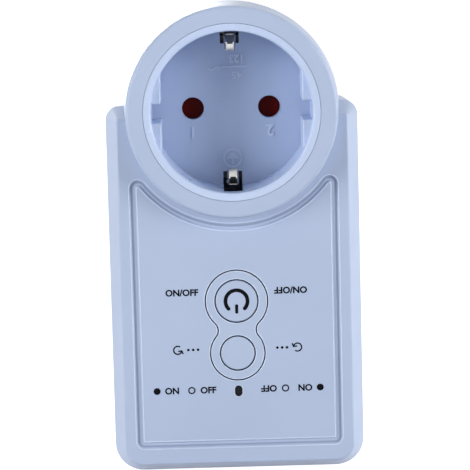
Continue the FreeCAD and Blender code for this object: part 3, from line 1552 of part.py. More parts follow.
NODES = [
    make_front_cover(),
    make_rear_cover(),
    make_socket_cup(),
    make_contact_carrier(),
    make_socket_contact("live_socket_contact", "-"),
    make_socket_contact("neutral_socket_contact", ""),
    make_shutter(),
    make_shutter_spring(),
    make_earth_bridge(),
    make_earth_clip("upper_earth_clip", ""),
    make_earth_clip("lower_earth_clip", "-"),
    make_plug_body(),
    make_plug_pin("live_plug_pin", "-"),
    make_plug_pin("neutral_plug_pin", ""),
    make_plug_earth_strip("upper_plug_earth_strip", ""),
    make_plug_earth_strip("lower_plug_earth_strip", "-"),
    make_button_surround(),
    make_button("power_button", "power_radius", "power_drop"),
    make_button("reset_button", "reset_radius", "reset_drop"),
    make_switch_body("power_switch_body", "power_drop"),
    make_switch_body("reset_switch_body", "reset_drop"),
    make_plunger("power_switch_plunger", "power_drop"),
    make_plunger("reset_switch_plunger", "reset_drop"),
    make_light_guide(),
    make_status_lamp(),
    make_main_board(),
    on_back("relay", "relay_x", "-relay_drop", "relay_width", "relay_rise", "relay_height"),
    make_transformer(),
    can_on_back(
        "input_capacitor",
        "input_can_x",
        "-input_can_drop",
        "input_can_radius",
        "input_can_height",
        "can_round",
    ),
    can_on_back(
        "output_capacitor",
        "column_x",
        "-output_can_drop",
        "output_can_radius",
        "output_can_height",
        "small_can_round",
    ),
    on_back("safety_capacitor", "film_x", "-row_drop", "film_width", "film_rise", "film_height"),
    on_back("varistor", "varistor_x", "-row_drop", "varistor_width", "varistor_rise", "varistor_height"),
    can_on_back("fuse", "fuse_x", "-row_drop", "fuse_radius", "fuse_height", "fuse_round"),
    on_back(
        "bridge_rectifier",
        "column_x",
        "-rectifier_drop",
        "rectifier_width",
        "rectifier_rise",
        "rectifier_height",
    ),
    make_choke(),
    on_back("network_module", "module_x", "-module_drop", "module_width", "module_rise", "module_board"),
    on_back(
        "module_shield",
        "module_x",
        "-module_drop",
        "(module_width - 2 * shield_inset)",
        "(module_rise - 2 * shield_inset)",
        "shield_height",
        lift="module_board",
    ),
    block(
        "controller_chip",
        ("-chip_x - chip_side / 2", "-chip_x + chip_side / 2"),
        ("board_y - chip_height", "board_y"),
        ("-chip_drop - chip_side / 2", "-chip_drop + chip_side / 2"),
    ),
    block(
        "voltage_regulator",
        ("chip_x - regulator_side / 2", "chip_x + regulator_side / 2"),
        ("board_y - regulator_height", "board_y"),
        ("-chip_drop - regulator_side / 2", "-chip_drop + regulator_side / 2"),
    ),
    make_card_holder(),
    make_sim_card(),
    make_antenna(),
    make_antenna_lead(),
    *make_wires(),
    make_screws(
        "case_screws",
        case_screw_spots(),
        "case_screw_radius",
        "case_head_radius",
        "case_head_height",
        "head_y",
        "case_screw_length",
    ),
    make_screws(
        "board_screws",
        board_screw_spots(),
        "small_screw_radius",
        "small_head_radius",
        "small_head_height",
        "board_back_y",
        "board_thickness + small_screw_bite",
    ),
    make_screws(
        "cup_screws",
        ear_spots(),
        "small_screw_radius",
        "small_head_radius",
        "small_head_height",
        "ear_back_y",
        "ear_thickness + ear_screw_bite",
    ),
    make_screws(
        "carrier_screws",
        carrier_spots(),
        "small_screw_radius",
        "small_head_radius",
        "small_head_height",
        "carrier_back_y",
        "carrier_back_y - floor_back_y + floor_thickness - 1.5 * hole_bottom",
    ),
]
finish()
os.makedirs("parts", exist_ok=True)
for node in NODES:
    if node.Shape.isNull() or not node.Shape.isValid():
        raise RuntimeError(f"{node.Label} has no valid shape")
for node in NODES:
    node.Shape.exportStep(f"parts/{node.Label}.step")
    print(node.Label, len(node.Shape.Solids), "solids,", round(node.Shape.Volume, 1), "mm3")
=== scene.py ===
# %% [markdown]
# # A plug-in smart socket, dressed for its picture
# The solids of the object come from the construction model: two cover halves, a socket insert, buttons,
# contacts, a circuit board and the rear plug. This file gives every piece its finish, adds what is printed
# and raised on the surfaces, rebuilds a few small pieces in finer detail, and lights and frames the object.
# All lengths are metres. X points to the right, Z points up and the socket faces -Y.

# %% Load the frame
import json
import math

import bmesh
import bpy
import numpy as np
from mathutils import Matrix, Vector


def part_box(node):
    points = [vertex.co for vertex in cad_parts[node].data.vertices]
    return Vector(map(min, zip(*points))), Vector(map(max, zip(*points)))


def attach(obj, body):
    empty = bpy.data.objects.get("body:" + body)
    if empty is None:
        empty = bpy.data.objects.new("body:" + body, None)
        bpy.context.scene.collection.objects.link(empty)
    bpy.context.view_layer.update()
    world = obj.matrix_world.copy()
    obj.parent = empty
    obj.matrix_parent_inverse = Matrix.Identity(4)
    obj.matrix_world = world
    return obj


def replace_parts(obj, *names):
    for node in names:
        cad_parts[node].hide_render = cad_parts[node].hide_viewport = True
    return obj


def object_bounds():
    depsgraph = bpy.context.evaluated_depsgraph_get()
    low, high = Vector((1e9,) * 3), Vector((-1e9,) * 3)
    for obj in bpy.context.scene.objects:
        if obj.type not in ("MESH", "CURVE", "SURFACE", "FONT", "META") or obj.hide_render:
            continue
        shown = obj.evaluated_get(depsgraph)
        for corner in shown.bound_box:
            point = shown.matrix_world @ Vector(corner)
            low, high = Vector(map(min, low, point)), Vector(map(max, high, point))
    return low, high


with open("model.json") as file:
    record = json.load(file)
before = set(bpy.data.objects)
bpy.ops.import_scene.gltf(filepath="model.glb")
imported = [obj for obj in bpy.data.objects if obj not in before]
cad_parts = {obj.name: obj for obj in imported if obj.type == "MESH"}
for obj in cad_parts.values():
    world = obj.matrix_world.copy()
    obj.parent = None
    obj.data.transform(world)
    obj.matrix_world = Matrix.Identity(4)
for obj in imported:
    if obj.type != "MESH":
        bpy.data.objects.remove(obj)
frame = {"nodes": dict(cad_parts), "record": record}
nodes = frame["nodes"]
cad_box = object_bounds()

# %% [markdown]
# ## Camera
# The photograph was taken from a little above, almost square to the socket, through a long lens, so the
# sides of the case stay nearly parallel. The real size is known from the spacing of the socket's two holes,
# which gives the distance for this lens. The camera is built from its viewing direction and a small roll,
# because that keeps each number a thing one could measure beside the object.

# %% Camera
MM = 0.001
CAMERA_DISTANCE = 569.6 * MM
CAMERA_PITCH = math.radians(7.33)
CAMERA_YAW = math.radians(0.59)
CAMERA_ROLL = math.radians(-1.47)
CAMERA_LENS = 179.5
AIM_BELOW_SOCKET = 29.78 * MM
front_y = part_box("front_cover")[0].y


def camera_axes(yaw, pitch, roll):
    """Right, up and forward of a camera: forward is turned by yaw and tipped down by pitch, then rolled."""
    forward = np.array([math.sin(yaw) * math.cos(pitch), math.cos(yaw) * math.cos(pitch), -math.sin(pitch)])
    level = np.array([math.cos(yaw), -math.sin(yaw), 0.0])
    upward = np.cross(level, forward)
    right = level * math.cos(roll) + upward * math.sin(roll)
    up = upward * math.cos(roll) - level * math.sin(roll)
    return right, up, forward


def make_camera():
    """The camera stands back from a point of the front face, against its forward direction."""
    right, up, forward = camera_axes(CAMERA_YAW, CAMERA_PITCH, CAMERA_ROLL)
    camera = bpy.data.objects.new("camera", bpy.data.cameras.new("camera"))
    bpy.context.scene.collection.objects.link(camera)
    camera.data.lens = CAMERA_LENS
    camera.data.clip_start, camera.data.clip_end = 0.01, 20
    eye = np.array([0.0, front_y, -AIM_BELOW_SOCKET]) - forward * CAMERA_DISTANCE
    matrix = np.eye(4)
    matrix[:3, 0], matrix[:3, 1], matrix[:3, 2], matrix[:3, 3] = right, up, -forward, eye
    camera.matrix_world = matrix.T.tolist()
    bpy.context.scene.camera = camera
    return camera


camera = make_camera()
print("camera at", [round(v, 3) for v in camera.matrix_world.translation])

# %% [markdown]
# ## Floor and light
# In the photograph the walls of the socket are bright and its floor is dark, so the light comes from both
# sides at about 60 degrees from the socket's axis, and hardly from the front. Two wide lamps stand there.
# A weak one in front opens the shadows, one above and one at the right brighten the outer edges, and one
# behind lights the plug. The ground is a pale floor that looks white to the camera and keeps the shadow.

# %% Floor and light
FLOOR_Z = cad_box[0].z
FLOOR_PAINT = (0.54, 0.56, 0.61)
WORLD_LIGHT = 0.12
FLOOR_SIZE = 12
JUST_WHITE = 1.01  # what the camera sees of the floor away from its shadow
LAMP_AIM = (0, 0, -0.03)
LAMPS = {
    # name: place, size and power
    "left_lamp": ((-0.82, -0.56, 0.14), 0.5, 7.1),
    "right_lamp": ((0.85, -0.52, 0.1), 0.5, 7.4),
    "front_lamp": ((0.0, -1.1, 0.2), 0.5, 0.64),
    "top_lamp": ((0.0, 0.35, 0.95), 0.5, 1.9),
    "edge_lamp": ((0.95, 0.0, 0.25), 0.5, 2.0),
    "back_lamp": ((-0.35, 1.05, 0.3), 0.7, 7.0),
}


def seen_directly(tree):
    """1 for rays that come from the camera, a mirror or glass, so that they all see the white ground."""
    path = tree.nodes.new("ShaderNodeLightPath")
    seen = None
    for name in ("Is Camera Ray", "Is Glossy Ray", "Is Transmission Ray"):
        if seen is None:
            seen = path.outputs[name]
            continue
        most = tree.nodes.new("ShaderNodeMath")
        most.operation = "MAXIMUM"
        tree.links.new(seen, most.inputs[0])
        tree.links.new(path.outputs[name], most.inputs[1])
        seen = most.outputs[0]
    return seen


def make_world():
    """A dim white surround for the light on the object, which looks white to the camera."""
    world = bpy.data.worlds.new("studio")
    bpy.context.scene.world = world
    world.use_nodes = True
    tree = world.node_tree
    background = tree.nodes["Background"]
    background.inputs["Color"].default_value = (1, 1, 1, 1)
    strength = tree.nodes.new("ShaderNodeMapRange")
    strength.inputs["To Min"].default_value = WORLD_LIGHT
    strength.inputs["To Max"].default_value = 1.0
    tree.links.new(seen_directly(tree), strength.inputs["Value"])
    tree.links.new(strength.outputs["Result"], background.inputs["Strength"])


def make_floor():
    """A pale floor: paint that takes the shadow, and a glow that only direct looks see."""
    bpy.ops.mesh.primitive_plane_add(size=FLOOR_SIZE, location=(0, 0, FLOOR_Z))
    floor = bpy.context.object
    floor.name = "floor"
    paint = bpy.data.materials.new("floor")
    paint.use_nodes = True
    tree = paint.node_tree
    shader = tree.nodes["Principled BSDF"]
    shader.inputs["Base Color"].default_value = (*FLOOR_PAINT, 1)
    shader.inputs["Roughness"].default_value = 0.9
    shader.inputs["Specular IOR Level"].default_value = 0.1
    glow = tree.nodes.new("ShaderNodeEmission")
    glow.inputs["Strength"].default_value = JUST_WHITE - FLOOR_PAINT[0] * WORLD_LIGHT
    both = tree.nodes.new("ShaderNodeAddShader")
    chosen = tree.nodes.new("ShaderNodeMixShader")
    output = tree.nodes["Material Output"]
    tree.links.new(shader.outputs[0], both.inputs[0])
    tree.links.new(glow.outputs[0], both.inputs[1])
    tree.links.new(seen_directly(tree), chosen.inputs[0])
    tree.links.new(shader.outputs[0], chosen.inputs[1])
    tree.links.new(both.outputs[0], chosen.inputs[2])
    tree.links.new(chosen.outputs[0], output.inputs["Surface"])
    floor.data.materials.append(paint)


def make_lamp(name, place, size, power):
    """A square lamp that points at the middle of the object."""
    light = bpy.data.lights.new(name, "AREA")
    light.energy, light.size = power, size
    lamp = bpy.data.objects.new(name, light)
    bpy.context.scene.collection.objects.link(lamp)
    lamp.location = place
    direction = np.array(LAMP_AIM) - np.array(place)
    lamp.rotation_mode = "QUATERNION"
    lamp.rotation_quaternion = Vector(direction).to_track_quat("-Z", "Y")


make_world()
make_floor()
for name, (place, size, power) in LAMPS.items():
    make_lamp(name, place, size, power)
bpy.context.scene.view_settings.view_transform = "Standard"
print("floor at", round(FLOOR_Z, 4), "with", len(LAMPS), "lamps")

# %% [markdown]
# ## Finishes
# Every finish is one Principled shader. What is the same all over a surface is a number on the shader's own
# socket; what changes over it is worked out from noise on object coordinates: a grain for the bump, slow
# patches for the roughness, and a slight drift of the colour. One function makes them all, because moulded
# plastic, plated metal and lacquer differ mostly in the size and strength of these three.


# %% Shader helpers
finishes = {}


def linear(red, green, blue):
    """A screen colour, given from 0 to 255, as the linear light that the shader needs."""
    share = np.array([red, green, blue]) / 255
    curve = np.where(share <= 0.04045, share / 12.92, ((share + 0.055) / 1.055) ** 2.4)
    return (*curve.tolist(), 1.0)


class Finish:
    """A material under construction: its node tree, its shader and the object coordinates."""

    def __init__(self, name, colour, roughness, metallic=0.0, **fixed):
        self.material = bpy.data.materials.new(name)
        self.material.use_nodes = True
        self.tree = self.material.node_tree
        self.shader = self.tree.nodes["Principled BSDF"]
        self.colour = linear(*colour)
        self.roughness = roughness
        self.shader.inputs["Base Color"].default_value = self.colour
        self.shader.inputs["Roughness"].default_value = roughness
        self.shader.inputs["Metallic"].default_value = metallic
        for socket, value in fixed.items():
            self.shader.inputs[socket.replace("_", " ")].default_value = value
        self.place = self.tree.nodes.new("ShaderNodeTexCoord").outputs["Object"]
        self.material.diffuse_color = self.colour
        finishes[name] = self

    def node(self, kind, **inputs):
        """A shader node, its inputs given by name as numbers or as outputs of other nodes."""
        made = self.tree.nodes.new(kind)
        for socket, value in inputs.items():
            self.feed(made.inputs[socket.replace("_", " ")], value)
        return made

    def feed(self, socket, value):
        """Links an output to a socket, or sets the socket to a value."""
        if hasattr(value, "links"):
            self.tree.links.new(value, socket)
        else:
            socket.default_value = value

    def noise(self, size, detail=2.0, stretch=(1, 1, 1)):
        """Noise whose patches are about size across, drawn out along an axis by its stretch."""
        mapping = self.node("ShaderNodeMapping", Vector=self.place)
        mapping.inputs["Scale"].default_value = tuple(1 / (size * s) for s in stretch)
        noise = self.node("ShaderNodeTexNoise", Vector=mapping.outputs[0], Scale=1.0, Detail=detail)
        return noise.outputs["Fac"]

    def ranged(self, value, low, high, start=0.3, end=0.7):
        """value carried from start..end to low..high."""
        span = {"From_Min": start, "From_Max": end, "To_Min": low, "To_Max": high}
        return self.node("ShaderNodeMapRange", Value=value, **span).outputs["Result"]

    def vary_roughness(self, size, amount, stretch=(1, 1, 1)):
        """Patches of that size, duller and glossier than the finish by an amount."""
        patches = self.noise(size, 3.0, stretch)
        rough = self.ranged(patches, self.roughness - amount, self.roughness + amount)
        self.feed(self.shader.inputs["Roughness"], rough)

    def vary_colour(self, share, other):
        """The base colour drifts towards another by share, a value from 0 to 1."""
        mix = self.tree.nodes.new("ShaderNodeMix")
        mix.data_type = "RGBA"
        self.feed(mix.inputs[0], share)
        source = self.shader.inputs["Base Color"]
        if source.links:
            self.tree.links.new(source.links[0].from_socket, mix.inputs[6])
        else:
            mix.inputs[6].default_value = self.colour
        mix.inputs[7].default_value = linear(*other)
        self.tree.links.new(mix.outputs[2], source)

    def bump(self, height, depth):
        """Relief of that depth from a height of 0 to 1, on top of what relief there is."""
        made = self.node("ShaderNodeBump", Height=height, Distance=depth)
        source = self.shader.inputs["Normal"]
        if source.links:
            self.tree.links.new(source.links[0].from_socket, made.inputs["Normal"])
        self.tree.links.new(made.outputs[0], source)


def moulded(name, colour, roughness, grain=0.25 * MM, depth=0.006 * MM, drift=3, **fixed):
    """Moulded plastic: fine spark-eroded grain, slow patches of gloss and a faint drift of the colour."""
    finish = Finish(name, colour, roughness, **fixed)
    finish.bump(finish.noise(grain, 2.0), depth)
    finish.bump(finish.noise(9 * MM, 1.0), 0.03 * MM)
    finish.vary_roughness(7 * MM, 0.05)
    other = tuple(max(0, part - drift) for part in colour)
    finish.vary_colour(finish.ranged(finish.noise(22 * MM, 2.0), 0.0, 1.0), other)
    return finish


def plated(name, colour, roughness, stretch=(1, 1, 1), depth=0.003 * MM, **fixed):
    """Plated or rolled metal: hairlines drawn out along the rolling direction and small dull stains."""
    finish = Finish(name, colour, roughness, metallic=1.0, **fixed)
    finish.bump(finish.noise(0.2 * MM, 3.0, stretch), depth)
    finish.vary_roughness(1.5 * MM, 0.08, stretch)
    dull = tuple(int(part * 0.82) for part in colour)
    finish.vary_colour(finish.ranged(finish.noise(1.2 * MM, 4.0), 0.0, 0.6, 0.5, 0.8), dull)
    return finish


print("shader helpers ready")

# %% [markdown]
# ### Plastics
# The case, the insert, the plug and the buttons are moulded in the same pale blue, with a satin surface. The
# buttons come from a polished mould and are a little glossier. The shutter behind the holes is a glossy
# dark red, and the window of the lamp is smoked. Inside are a black contact carrier, a blue relay, a pale
# film capacitor and coloured wires, as on most boards of this kind.

# %% Plastics
moulded("casing", (176, 190, 216), 0.42)
# The insert's blue is paler than the case's: painted light on the ring and walls of the socket.
insert = moulded("socket_insert", (194, 209, 237), 0.3)
moulded("buttons", (177, 191, 216), 0.33, grain=0.4 * MM, depth=0.003 * MM)
moulded("plug", (172, 186, 212), 0.45)
shutter_gloss = {"grain": 0.8 * MM, "depth": 0.002 * MM, "drift": 8, "Specular_IOR_Level": 0.04}
moulded("shutter", (84, 5, 8), 0.3, **shutter_gloss)
window_gloss = {"grain": 0.9 * MM, "depth": 0.001 * MM, "Specular_IOR_Level": 0.15}
moulded("light_guide", (14, 15, 20), 0.25, **window_gloss)
moulded("carrier", (22, 23, 26), 0.55, depth=0.01 * MM)
moulded("black_plastic", (26, 27, 29), 0.5, depth=0.008 * MM)
moulded("relay_case", (34, 74, 140), 0.3, grain=0.5 * MM)
moulded("film_box", (196, 186, 120), 0.35, grain=0.5 * MM)
moulded("disc_coat", (36, 84, 152), 0.25, grain=1.4 * MM, depth=0.05 * MM, drift=12)
moulded("card", (236, 236, 232), 0.3)
moulded("lamp", (222, 228, 226), 0.1, Transmission_Weight=0.6)
moulded("live_wire", (112, 62, 32), 0.4, grain=0.6 * MM)
moulded("neutral_wire", (38, 84, 164), 0.4, grain=0.6 * MM)
moulded("lead_jacket", (30, 30, 32), 0.45, grain=0.6 * MM)
print(len(finishes), "plastics")

# %% [markdown]
# ### The insert's matt floor, with painted shade
# The mould leaves the floor of the insert matt, so it is less glossy than the polished ring and walls.
# The depth in the socket is the Y of the object coordinates: from one depth on the gloss goes down, and close
# to the floor the colour darkens as painted shade of the deep socket.

# %% Insert
MATT_DEPTH = (front_y + 2 * MM, front_y + 6 * MM)
# Towards the floor the insert's colour darkens: painted shade of the deep socket.
FLOOR_SHADE_DEPTH = (front_y + 15.5 * MM, front_y + 17 * MM)
INSERT_FLOOR_SHADE = (179, 194, 222)
inwards = insert.node("ShaderNodeSeparateXYZ", Vector=insert.place).outputs["Y"]
insert.vary_colour(insert.ranged(inwards, 0.0, 1.0, *FLOOR_SHADE_DEPTH), INSERT_FLOOR_SHADE)
insert.feed(insert.shader.inputs["Specular IOR Level"], insert.ranged(inwards, 0.5, 0.1, *MATT_DEPTH))
print("insert darker from", round(FLOOR_SHADE_DEPTH[0] - front_y, 4), "m deep")

# %% [markdown]
# ### Metals
# The earth clips are nickel-plated and bright, the contacts are brass, and the screws are zinc-plated steel.
# Rolled strip shows hairlines along its length, so its noise is drawn out along Y, the way the strips run.

# %% Metals
plated("plated_steel", (212, 209, 203), 0.4, stretch=(1, 6, 1))
plated("plug_pin", (204, 202, 196), 0.2, stretch=(1, 5, 1))
plated("contact_brass", (205, 168, 92), 0.28, stretch=(1, 5, 1))
plated("spring_steel", (170, 172, 176), 0.25)
plated("screw_steel", (188, 188, 186), 0.32)
plated("can", (196, 198, 200), 0.3)
plated("shield", (196, 194, 184), 0.3, stretch=(6, 1, 1))
print(len(finishes), "finishes with the metals")

# %% [markdown]
# ### Board, core and film
# A circuit board is green lacquer over copper. The copper shows as slightly raised, paler tracks. Bricks of
# two sizes laid over each other give such lines without drawing each one. Ferrite is a dull dark grey with
# fine pores, and the antenna is a copper pattern under orange film.


# %% Board, core and film
def circuit_board():
    """Green lacquer with raised, paler lines in two directions."""
    finish = Finish("circuit_board", (16, 84, 48), 0.35)
    for width, height, turn in ((9 * MM, 2.4 * MM, 0.0), (5 * MM, 3.1 * MM, math.pi / 2)):
        mapping = finish.node("ShaderNodeMapping", Vector=finish.place)
        mapping.inputs["Rotation"].default_value = (math.pi / 2, 0, turn)
        tracks = finish.node("ShaderNodeTexBrick", Vector=mapping.outputs[0], Scale=1.0)
        tracks.inputs["Brick Width"].default_value = width
        tracks.inputs["Row Height"].default_value = height
        tracks.inputs["Mortar Size"].default_value = 0.16 * MM
        tracks.inputs["Mortar Smooth"].default_value = 0.2
        finish.vary_colour(tracks.outputs["Fac"], (52, 132, 84))
        finish.bump(tracks.outputs["Fac"], 0.03 * MM)
    finish.vary_roughness(3 * MM, 0.06)


def film_pattern():
    """Orange film over dark bands of copper."""
    finish = Finish("antenna_film", (206, 122, 40), 0.35)
    waves = finish.node("ShaderNodeTexWave", Vector=finish.place, Scale=1 / (6.5 * MM), Distortion=0.0)
    bands = finish.ranged(waves.outputs["Fac"], 0.0, 1.0, 0.55, 0.65)
    finish.vary_colour(bands, (150, 74, 30))
    finish.bump(bands, 0.03 * MM)
    finish.vary_roughness(2 * MM, 0.08)


def ferrite():
    """Dull dark grey with fine pale pores."""
    finish = moulded("core", (62, 62, 64), 0.6, grain=0.3 * MM, depth=0.03 * MM, drift=12)
    finish.vary_colour(finish.ranged(finish.noise(0.5 * MM, 4.0), 0.0, 0.5, 0.55, 0.75), (92, 90, 88))


circuit_board()
film_pattern()
ferrite()
print(len(finishes), "finishes with the board")

# %% [markdown]
# ### Ink, edges and seams
# The signs are printed in a nearly black ink with a fine uneven edge to its gloss. The marks on the insert's
# floor and the rounded edges beside the seams catch more light, so they are painted a little paler than the
# plastic, a painted highlight. A seam is a narrow gap that hardly any light leaves, so its dark is painted
# shade, and the groove round the panel is an open shadow, painted as a dull band.


# %% Ink, edges and seams
def printed_ink():
    """Nearly black ink with small duller spots."""
    ink = Finish("printed_ink", (7, 8, 13), 0.6, Specular_IOR_Level=0.06)
    ink.bump(ink.noise(0.12 * MM, 3.0), 0.004 * MM)
    ink.vary_roughness(0.8 * MM, 0.1)
    ink.vary_colour(ink.ranged(ink.noise(0.3 * MM, 4.0), 0.0, 0.5, 0.5, 0.8), (30, 32, 44))


def seam_shade():
    """Painted shade of a gap, with slow lighter stretches."""
    shade = Finish("seam_shade", (20, 24, 36), 0.7, Specular_IOR_Level=0.05)
    shade.bump(shade.noise(0.1 * MM, 2.0), 0.002 * MM)
    shade.vary_roughness(0.6 * MM, 0.08)
    shade.vary_colour(shade.ranged(shade.noise(2 * MM, 3.0), 0.0, 0.6, 0.4, 0.7), (56, 62, 80))


printed_ink()
# Marks and edge beads are paler than their plastic as painted highlights; the groove and seam bands are
# painted shade.
moulded("raised_marks", (194, 208, 234), 0.3, grain=0.5 * MM, depth=0.001 * MM)
moulded("highlight_edge", (206, 218, 240), 0.3, grain=0.5 * MM, depth=0.001 * MM)
moulded("groove_shade", (144, 157, 184), 0.6, grain=0.3 * MM)
seam_shade()
print(len(finishes), "finishes in all")

# %% [markdown]
# ### Which piece has which finish
# Each solid of the construction model names a material slot in its record. The finish of the same name goes
# on it, and the few that need another one are listed.

# %% Dress the solids
OTHER_FINISH = {"socket_cup": "socket_insert", "button_surround": "buttons"}
node_slots = {row["node"]: row["material_slot"] for row in frame["record"]["subparts"]}
for name, thing in nodes.items():
    finish = finishes[OTHER_FINISH.get(name, node_slots[name])]
    thing.data.materials.clear()
    thing.data.materials.append(finish.material)
print("dressed", len(nodes), "solids in", len(set(node_slots.values())), "slots")

# %% [markdown]
# ## Surfaces from arrays
# New pieces are grids of points: one direction runs along the piece and the other round its section. numpy
# works out all the points at once, and the faces follow from the grid's own numbering.


# %% Mesh helpers
def place_piece(name, mesh, finish, body):
    """Turns a mesh's faces outwards and makes it a piece that rides on a body."""
    mesh.validate()
    turn_outwards(mesh)
    piece = bpy.data.objects.new(name, mesh)
    bpy.context.scene.collection.objects.link(piece)
    mesh.materials.clear()
    mesh.materials.append(finishes[finish].material)
    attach(piece, body)
    return piece


def turn_outwards(mesh):
    """Merges points that lie together and makes every face of a closed mesh point outwards."""
    working = bmesh.new()
    working.from_mesh(mesh)
    bmesh.ops.remove_doubles(working, verts=working.verts, dist=1e-7)
    bmesh.ops.recalc_face_normals(working, faces=working.faces)
    working.to_mesh(mesh)
    working.free()


def smooth(piece, angle=35):
    """Shades the piece smooth, with hard edges where faces meet at more than the angle."""
    piece.data.shade_smooth()
    piece.data.set_sharp_from_angle(angle=math.radians(angle))
    return piece


def join_strokes(name, grids, finish, body):
    """One piece from grids of points (along, round, xyz), each closed round its section and at its ends.

    Face (i, j) joins the points (i, j), (i, j+1), (i+1, j+1) and (i+1, j).
    """
    vertices, faces, offset = [], [], 0
    for points in grids:
        along, around = points.shape[:2]
        index = np.arange(along * around).reshape(along, around) + offset
        after = np.roll(index, -1, axis=1)
        quads = np.stack([index[:-1], after[:-1], after[1:], index[1:]], axis=-1).reshape(-1, 4)
        faces += quads.tolist() + [index[0][::-1].tolist(), index[-1].tolist()]
        vertices.append(points.reshape(-1, 3))
        offset += along * around
    mesh = bpy.data.meshes.new(name)
    mesh.from_pydata(np.concatenate(vertices).tolist(), [], faces)
    return place_piece(name, mesh, finish, body)


def centre_of(node):
    """The middle of a solid's box."""
    low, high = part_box(node)
    return (low + high) / 2


print("mesh helpers ready")

# %% [markdown]
# ## Printing and raised marks
# The face carries printed signs beside the buttons, once upright on the left and once turned upside down on
# the right, and a power sign on the upper button. The socket's floor has raised marks. Signs are strokes: a
# line with round ends that is given a width. Letters and digits would be many strokes, so they come from
# the built-in font, and only the plain words of a switch and plain digits are used.

# %% Strokes
INK_THICKNESS = 0.03 * MM
ROUND_STEPS = 8


def stroke_rails(path, half_width):
    """Left and right edge of a line of points with round ends.

    The line is drawn out at both ends by its half width r, and at a distance d past the end the edge lies
    sqrt(r^2 - d^2) from the middle line, which makes a half circle.
    """
    path = np.asarray(path, float)
    way = np.gradient(path, axis=0)
    way /= np.linalg.norm(way, axis=1)[:, None]
    past = half_width * np.sin(np.linspace(math.pi / 2, 0, ROUND_STEPS, endpoint=False))
    past[0] *= 0.999  # so that the round end is not closed to a single point
    widths = np.concatenate([np.sqrt(half_width**2 - past**2), np.full(len(path), half_width)])
    widths = np.concatenate([widths, np.sqrt(half_width**2 - past[::-1] ** 2)])
    start = path[0] - past[:, None] * way[0]
    end = path[-1] + past[::-1, None] * way[-1]
    line = np.concatenate([start, path, end])
    ways = np.concatenate([np.tile(way[0], (len(past), 1)), way, np.tile(way[-1], (len(past), 1))])
    across = np.stack([-ways[:, 1], ways[:, 0]], axis=1) * widths[:, None]
    return line + across, line - across


def stroke_points(path, half_width, front, back):
    """A stroke of the face plane (x, z) as a grid: left and right edge at the front, then at the back."""
    left, right = stroke_rails(path, half_width)
    sides = [(left, front), (right, front), (right, back), (left, back)]
    return np.stack([np.stack([s[:, 0], np.full(len(s), y), s[:, 1]], axis=1) for s, y in sides], axis=1)


def arc_line(centre, radius, start, end, steps=48):
    """Points of an arc about a centre, from one angle to another, in degrees."""
    angle = np.radians(np.linspace(start, end, steps))
    return np.stack([centre[0] + radius * np.cos(angle), centre[1] + radius * np.sin(angle)], axis=1)


def straight_line(start, end, steps=4):
    """Points of a straight line from start to end."""
    return np.linspace(start, end, steps)


def dot(x, z):
    """A very short line: with the round ends of a stroke it makes a disc."""
    return straight_line((x, z), (x + 0.02 * MM, z))


def turned(path, centre, half_turn):
    """The path turned by half a turn about a centre, or left as it is."""
    path = np.asarray(path, float)
    return 2 * np.asarray(centre) - path if half_turn else path


print("strokes ready")

# %% [markdown]
# ### The power sign
# An open ring with a short bar in its gap, printed on the upper button. It is upside down, as in the
# photograph, so that it reads from the other side as well, and it rides on the button.

# %% Power sign
RING_RADIUS = 2.72 * MM
RING_HALF_STROKE = 0.46 * MM
RING_GAP = 47  # degrees to each side of the bar
BAR_TOP, BAR_FOOT, BAR_HALF_STROKE = -1.15 * MM, -2.75 * MM, 0.38 * MM

button = centre_of("power_button")
cap_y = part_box("power_button")[0].y
ring = arc_line((button.x, button.z), RING_RADIUS, -90 + RING_GAP, 270 - RING_GAP, 96)
bar = straight_line((button.x, button.z + BAR_TOP), (button.x, button.z + BAR_FOOT))
layers = (cap_y - INK_THICKNESS, cap_y)
sign = [stroke_points(ring, RING_HALF_STROKE, *layers), stroke_points(bar, BAR_HALF_STROKE, *layers)]
power_sign = join_strokes("power_sign", sign, "printed_ink", "power_press")
print("power sign", len(power_sign.data.vertices), "points")

# %% [markdown]
# ### Letters and digits
# Words and digits are printed or moulded in one run on the real object. Here each comes from the built-in
# font, is made a thin solid, and is then placed point by point, because it may stand upside down.

# %% Lettering
LETTER_HEIGHT = 1.62 * MM
LETTER_BOLD = 0.08 * MM
FONT_CAP_SHARE = 0.73  # height of a capital letter as a share of the font's size


def lettering(name, text, centre, height, front, back, half_turn, finish="printed_ink"):
    """A word or number as a thin solid on the face plane, centred on a point, perhaps upside down."""
    curve = bpy.data.curves.new(name, "FONT")
    curve.body = text
    curve.size = height / FONT_CAP_SHARE
    curve.align_x = "CENTER"
    curve.extrude = (back - front) / 2
    curve.offset = LETTER_BOLD
    curve.resolution_u = 4
    holder = bpy.data.objects.new(name, curve)
    bpy.context.scene.collection.objects.link(holder)
    bpy.context.view_layer.update()
    mesh = bpy.data.meshes.new_from_object(holder.evaluated_get(bpy.context.evaluated_depsgraph_get()))
    bpy.data.objects.remove(holder)
    flat = np.empty(len(mesh.vertices) * 3)
    mesh.vertices.foreach_get("co", flat)
    flat = flat.reshape(-1, 3)
    middle = (flat.max(0) + flat.min(0)) / 2
    spot = turned(flat[:, :2] - middle[:2] + np.asarray(centre), centre, half_turn)
    placed = np.stack([spot[:, 0], (front + back) / 2 - flat[:, 2], spot[:, 1]], axis=1)
    mesh.vertices.foreach_set("co", placed.ravel())
    mesh.update()
    return place_piece(name, mesh, finish, "case")


print("letters", round(LETTER_HEIGHT / MM, 2), "mm high")

# %% [markdown]
# ### Words of the switch and the lamp's key
# Beside the upper button stand the plain words of a switch. Beside the lower button is a round arrow with
# three dots, for pressing and holding. Beside the lamp a full dot stands for on and an open one for off.
# Each sign is drawn about its own centre, so the right side is the left one turned by half a turn.

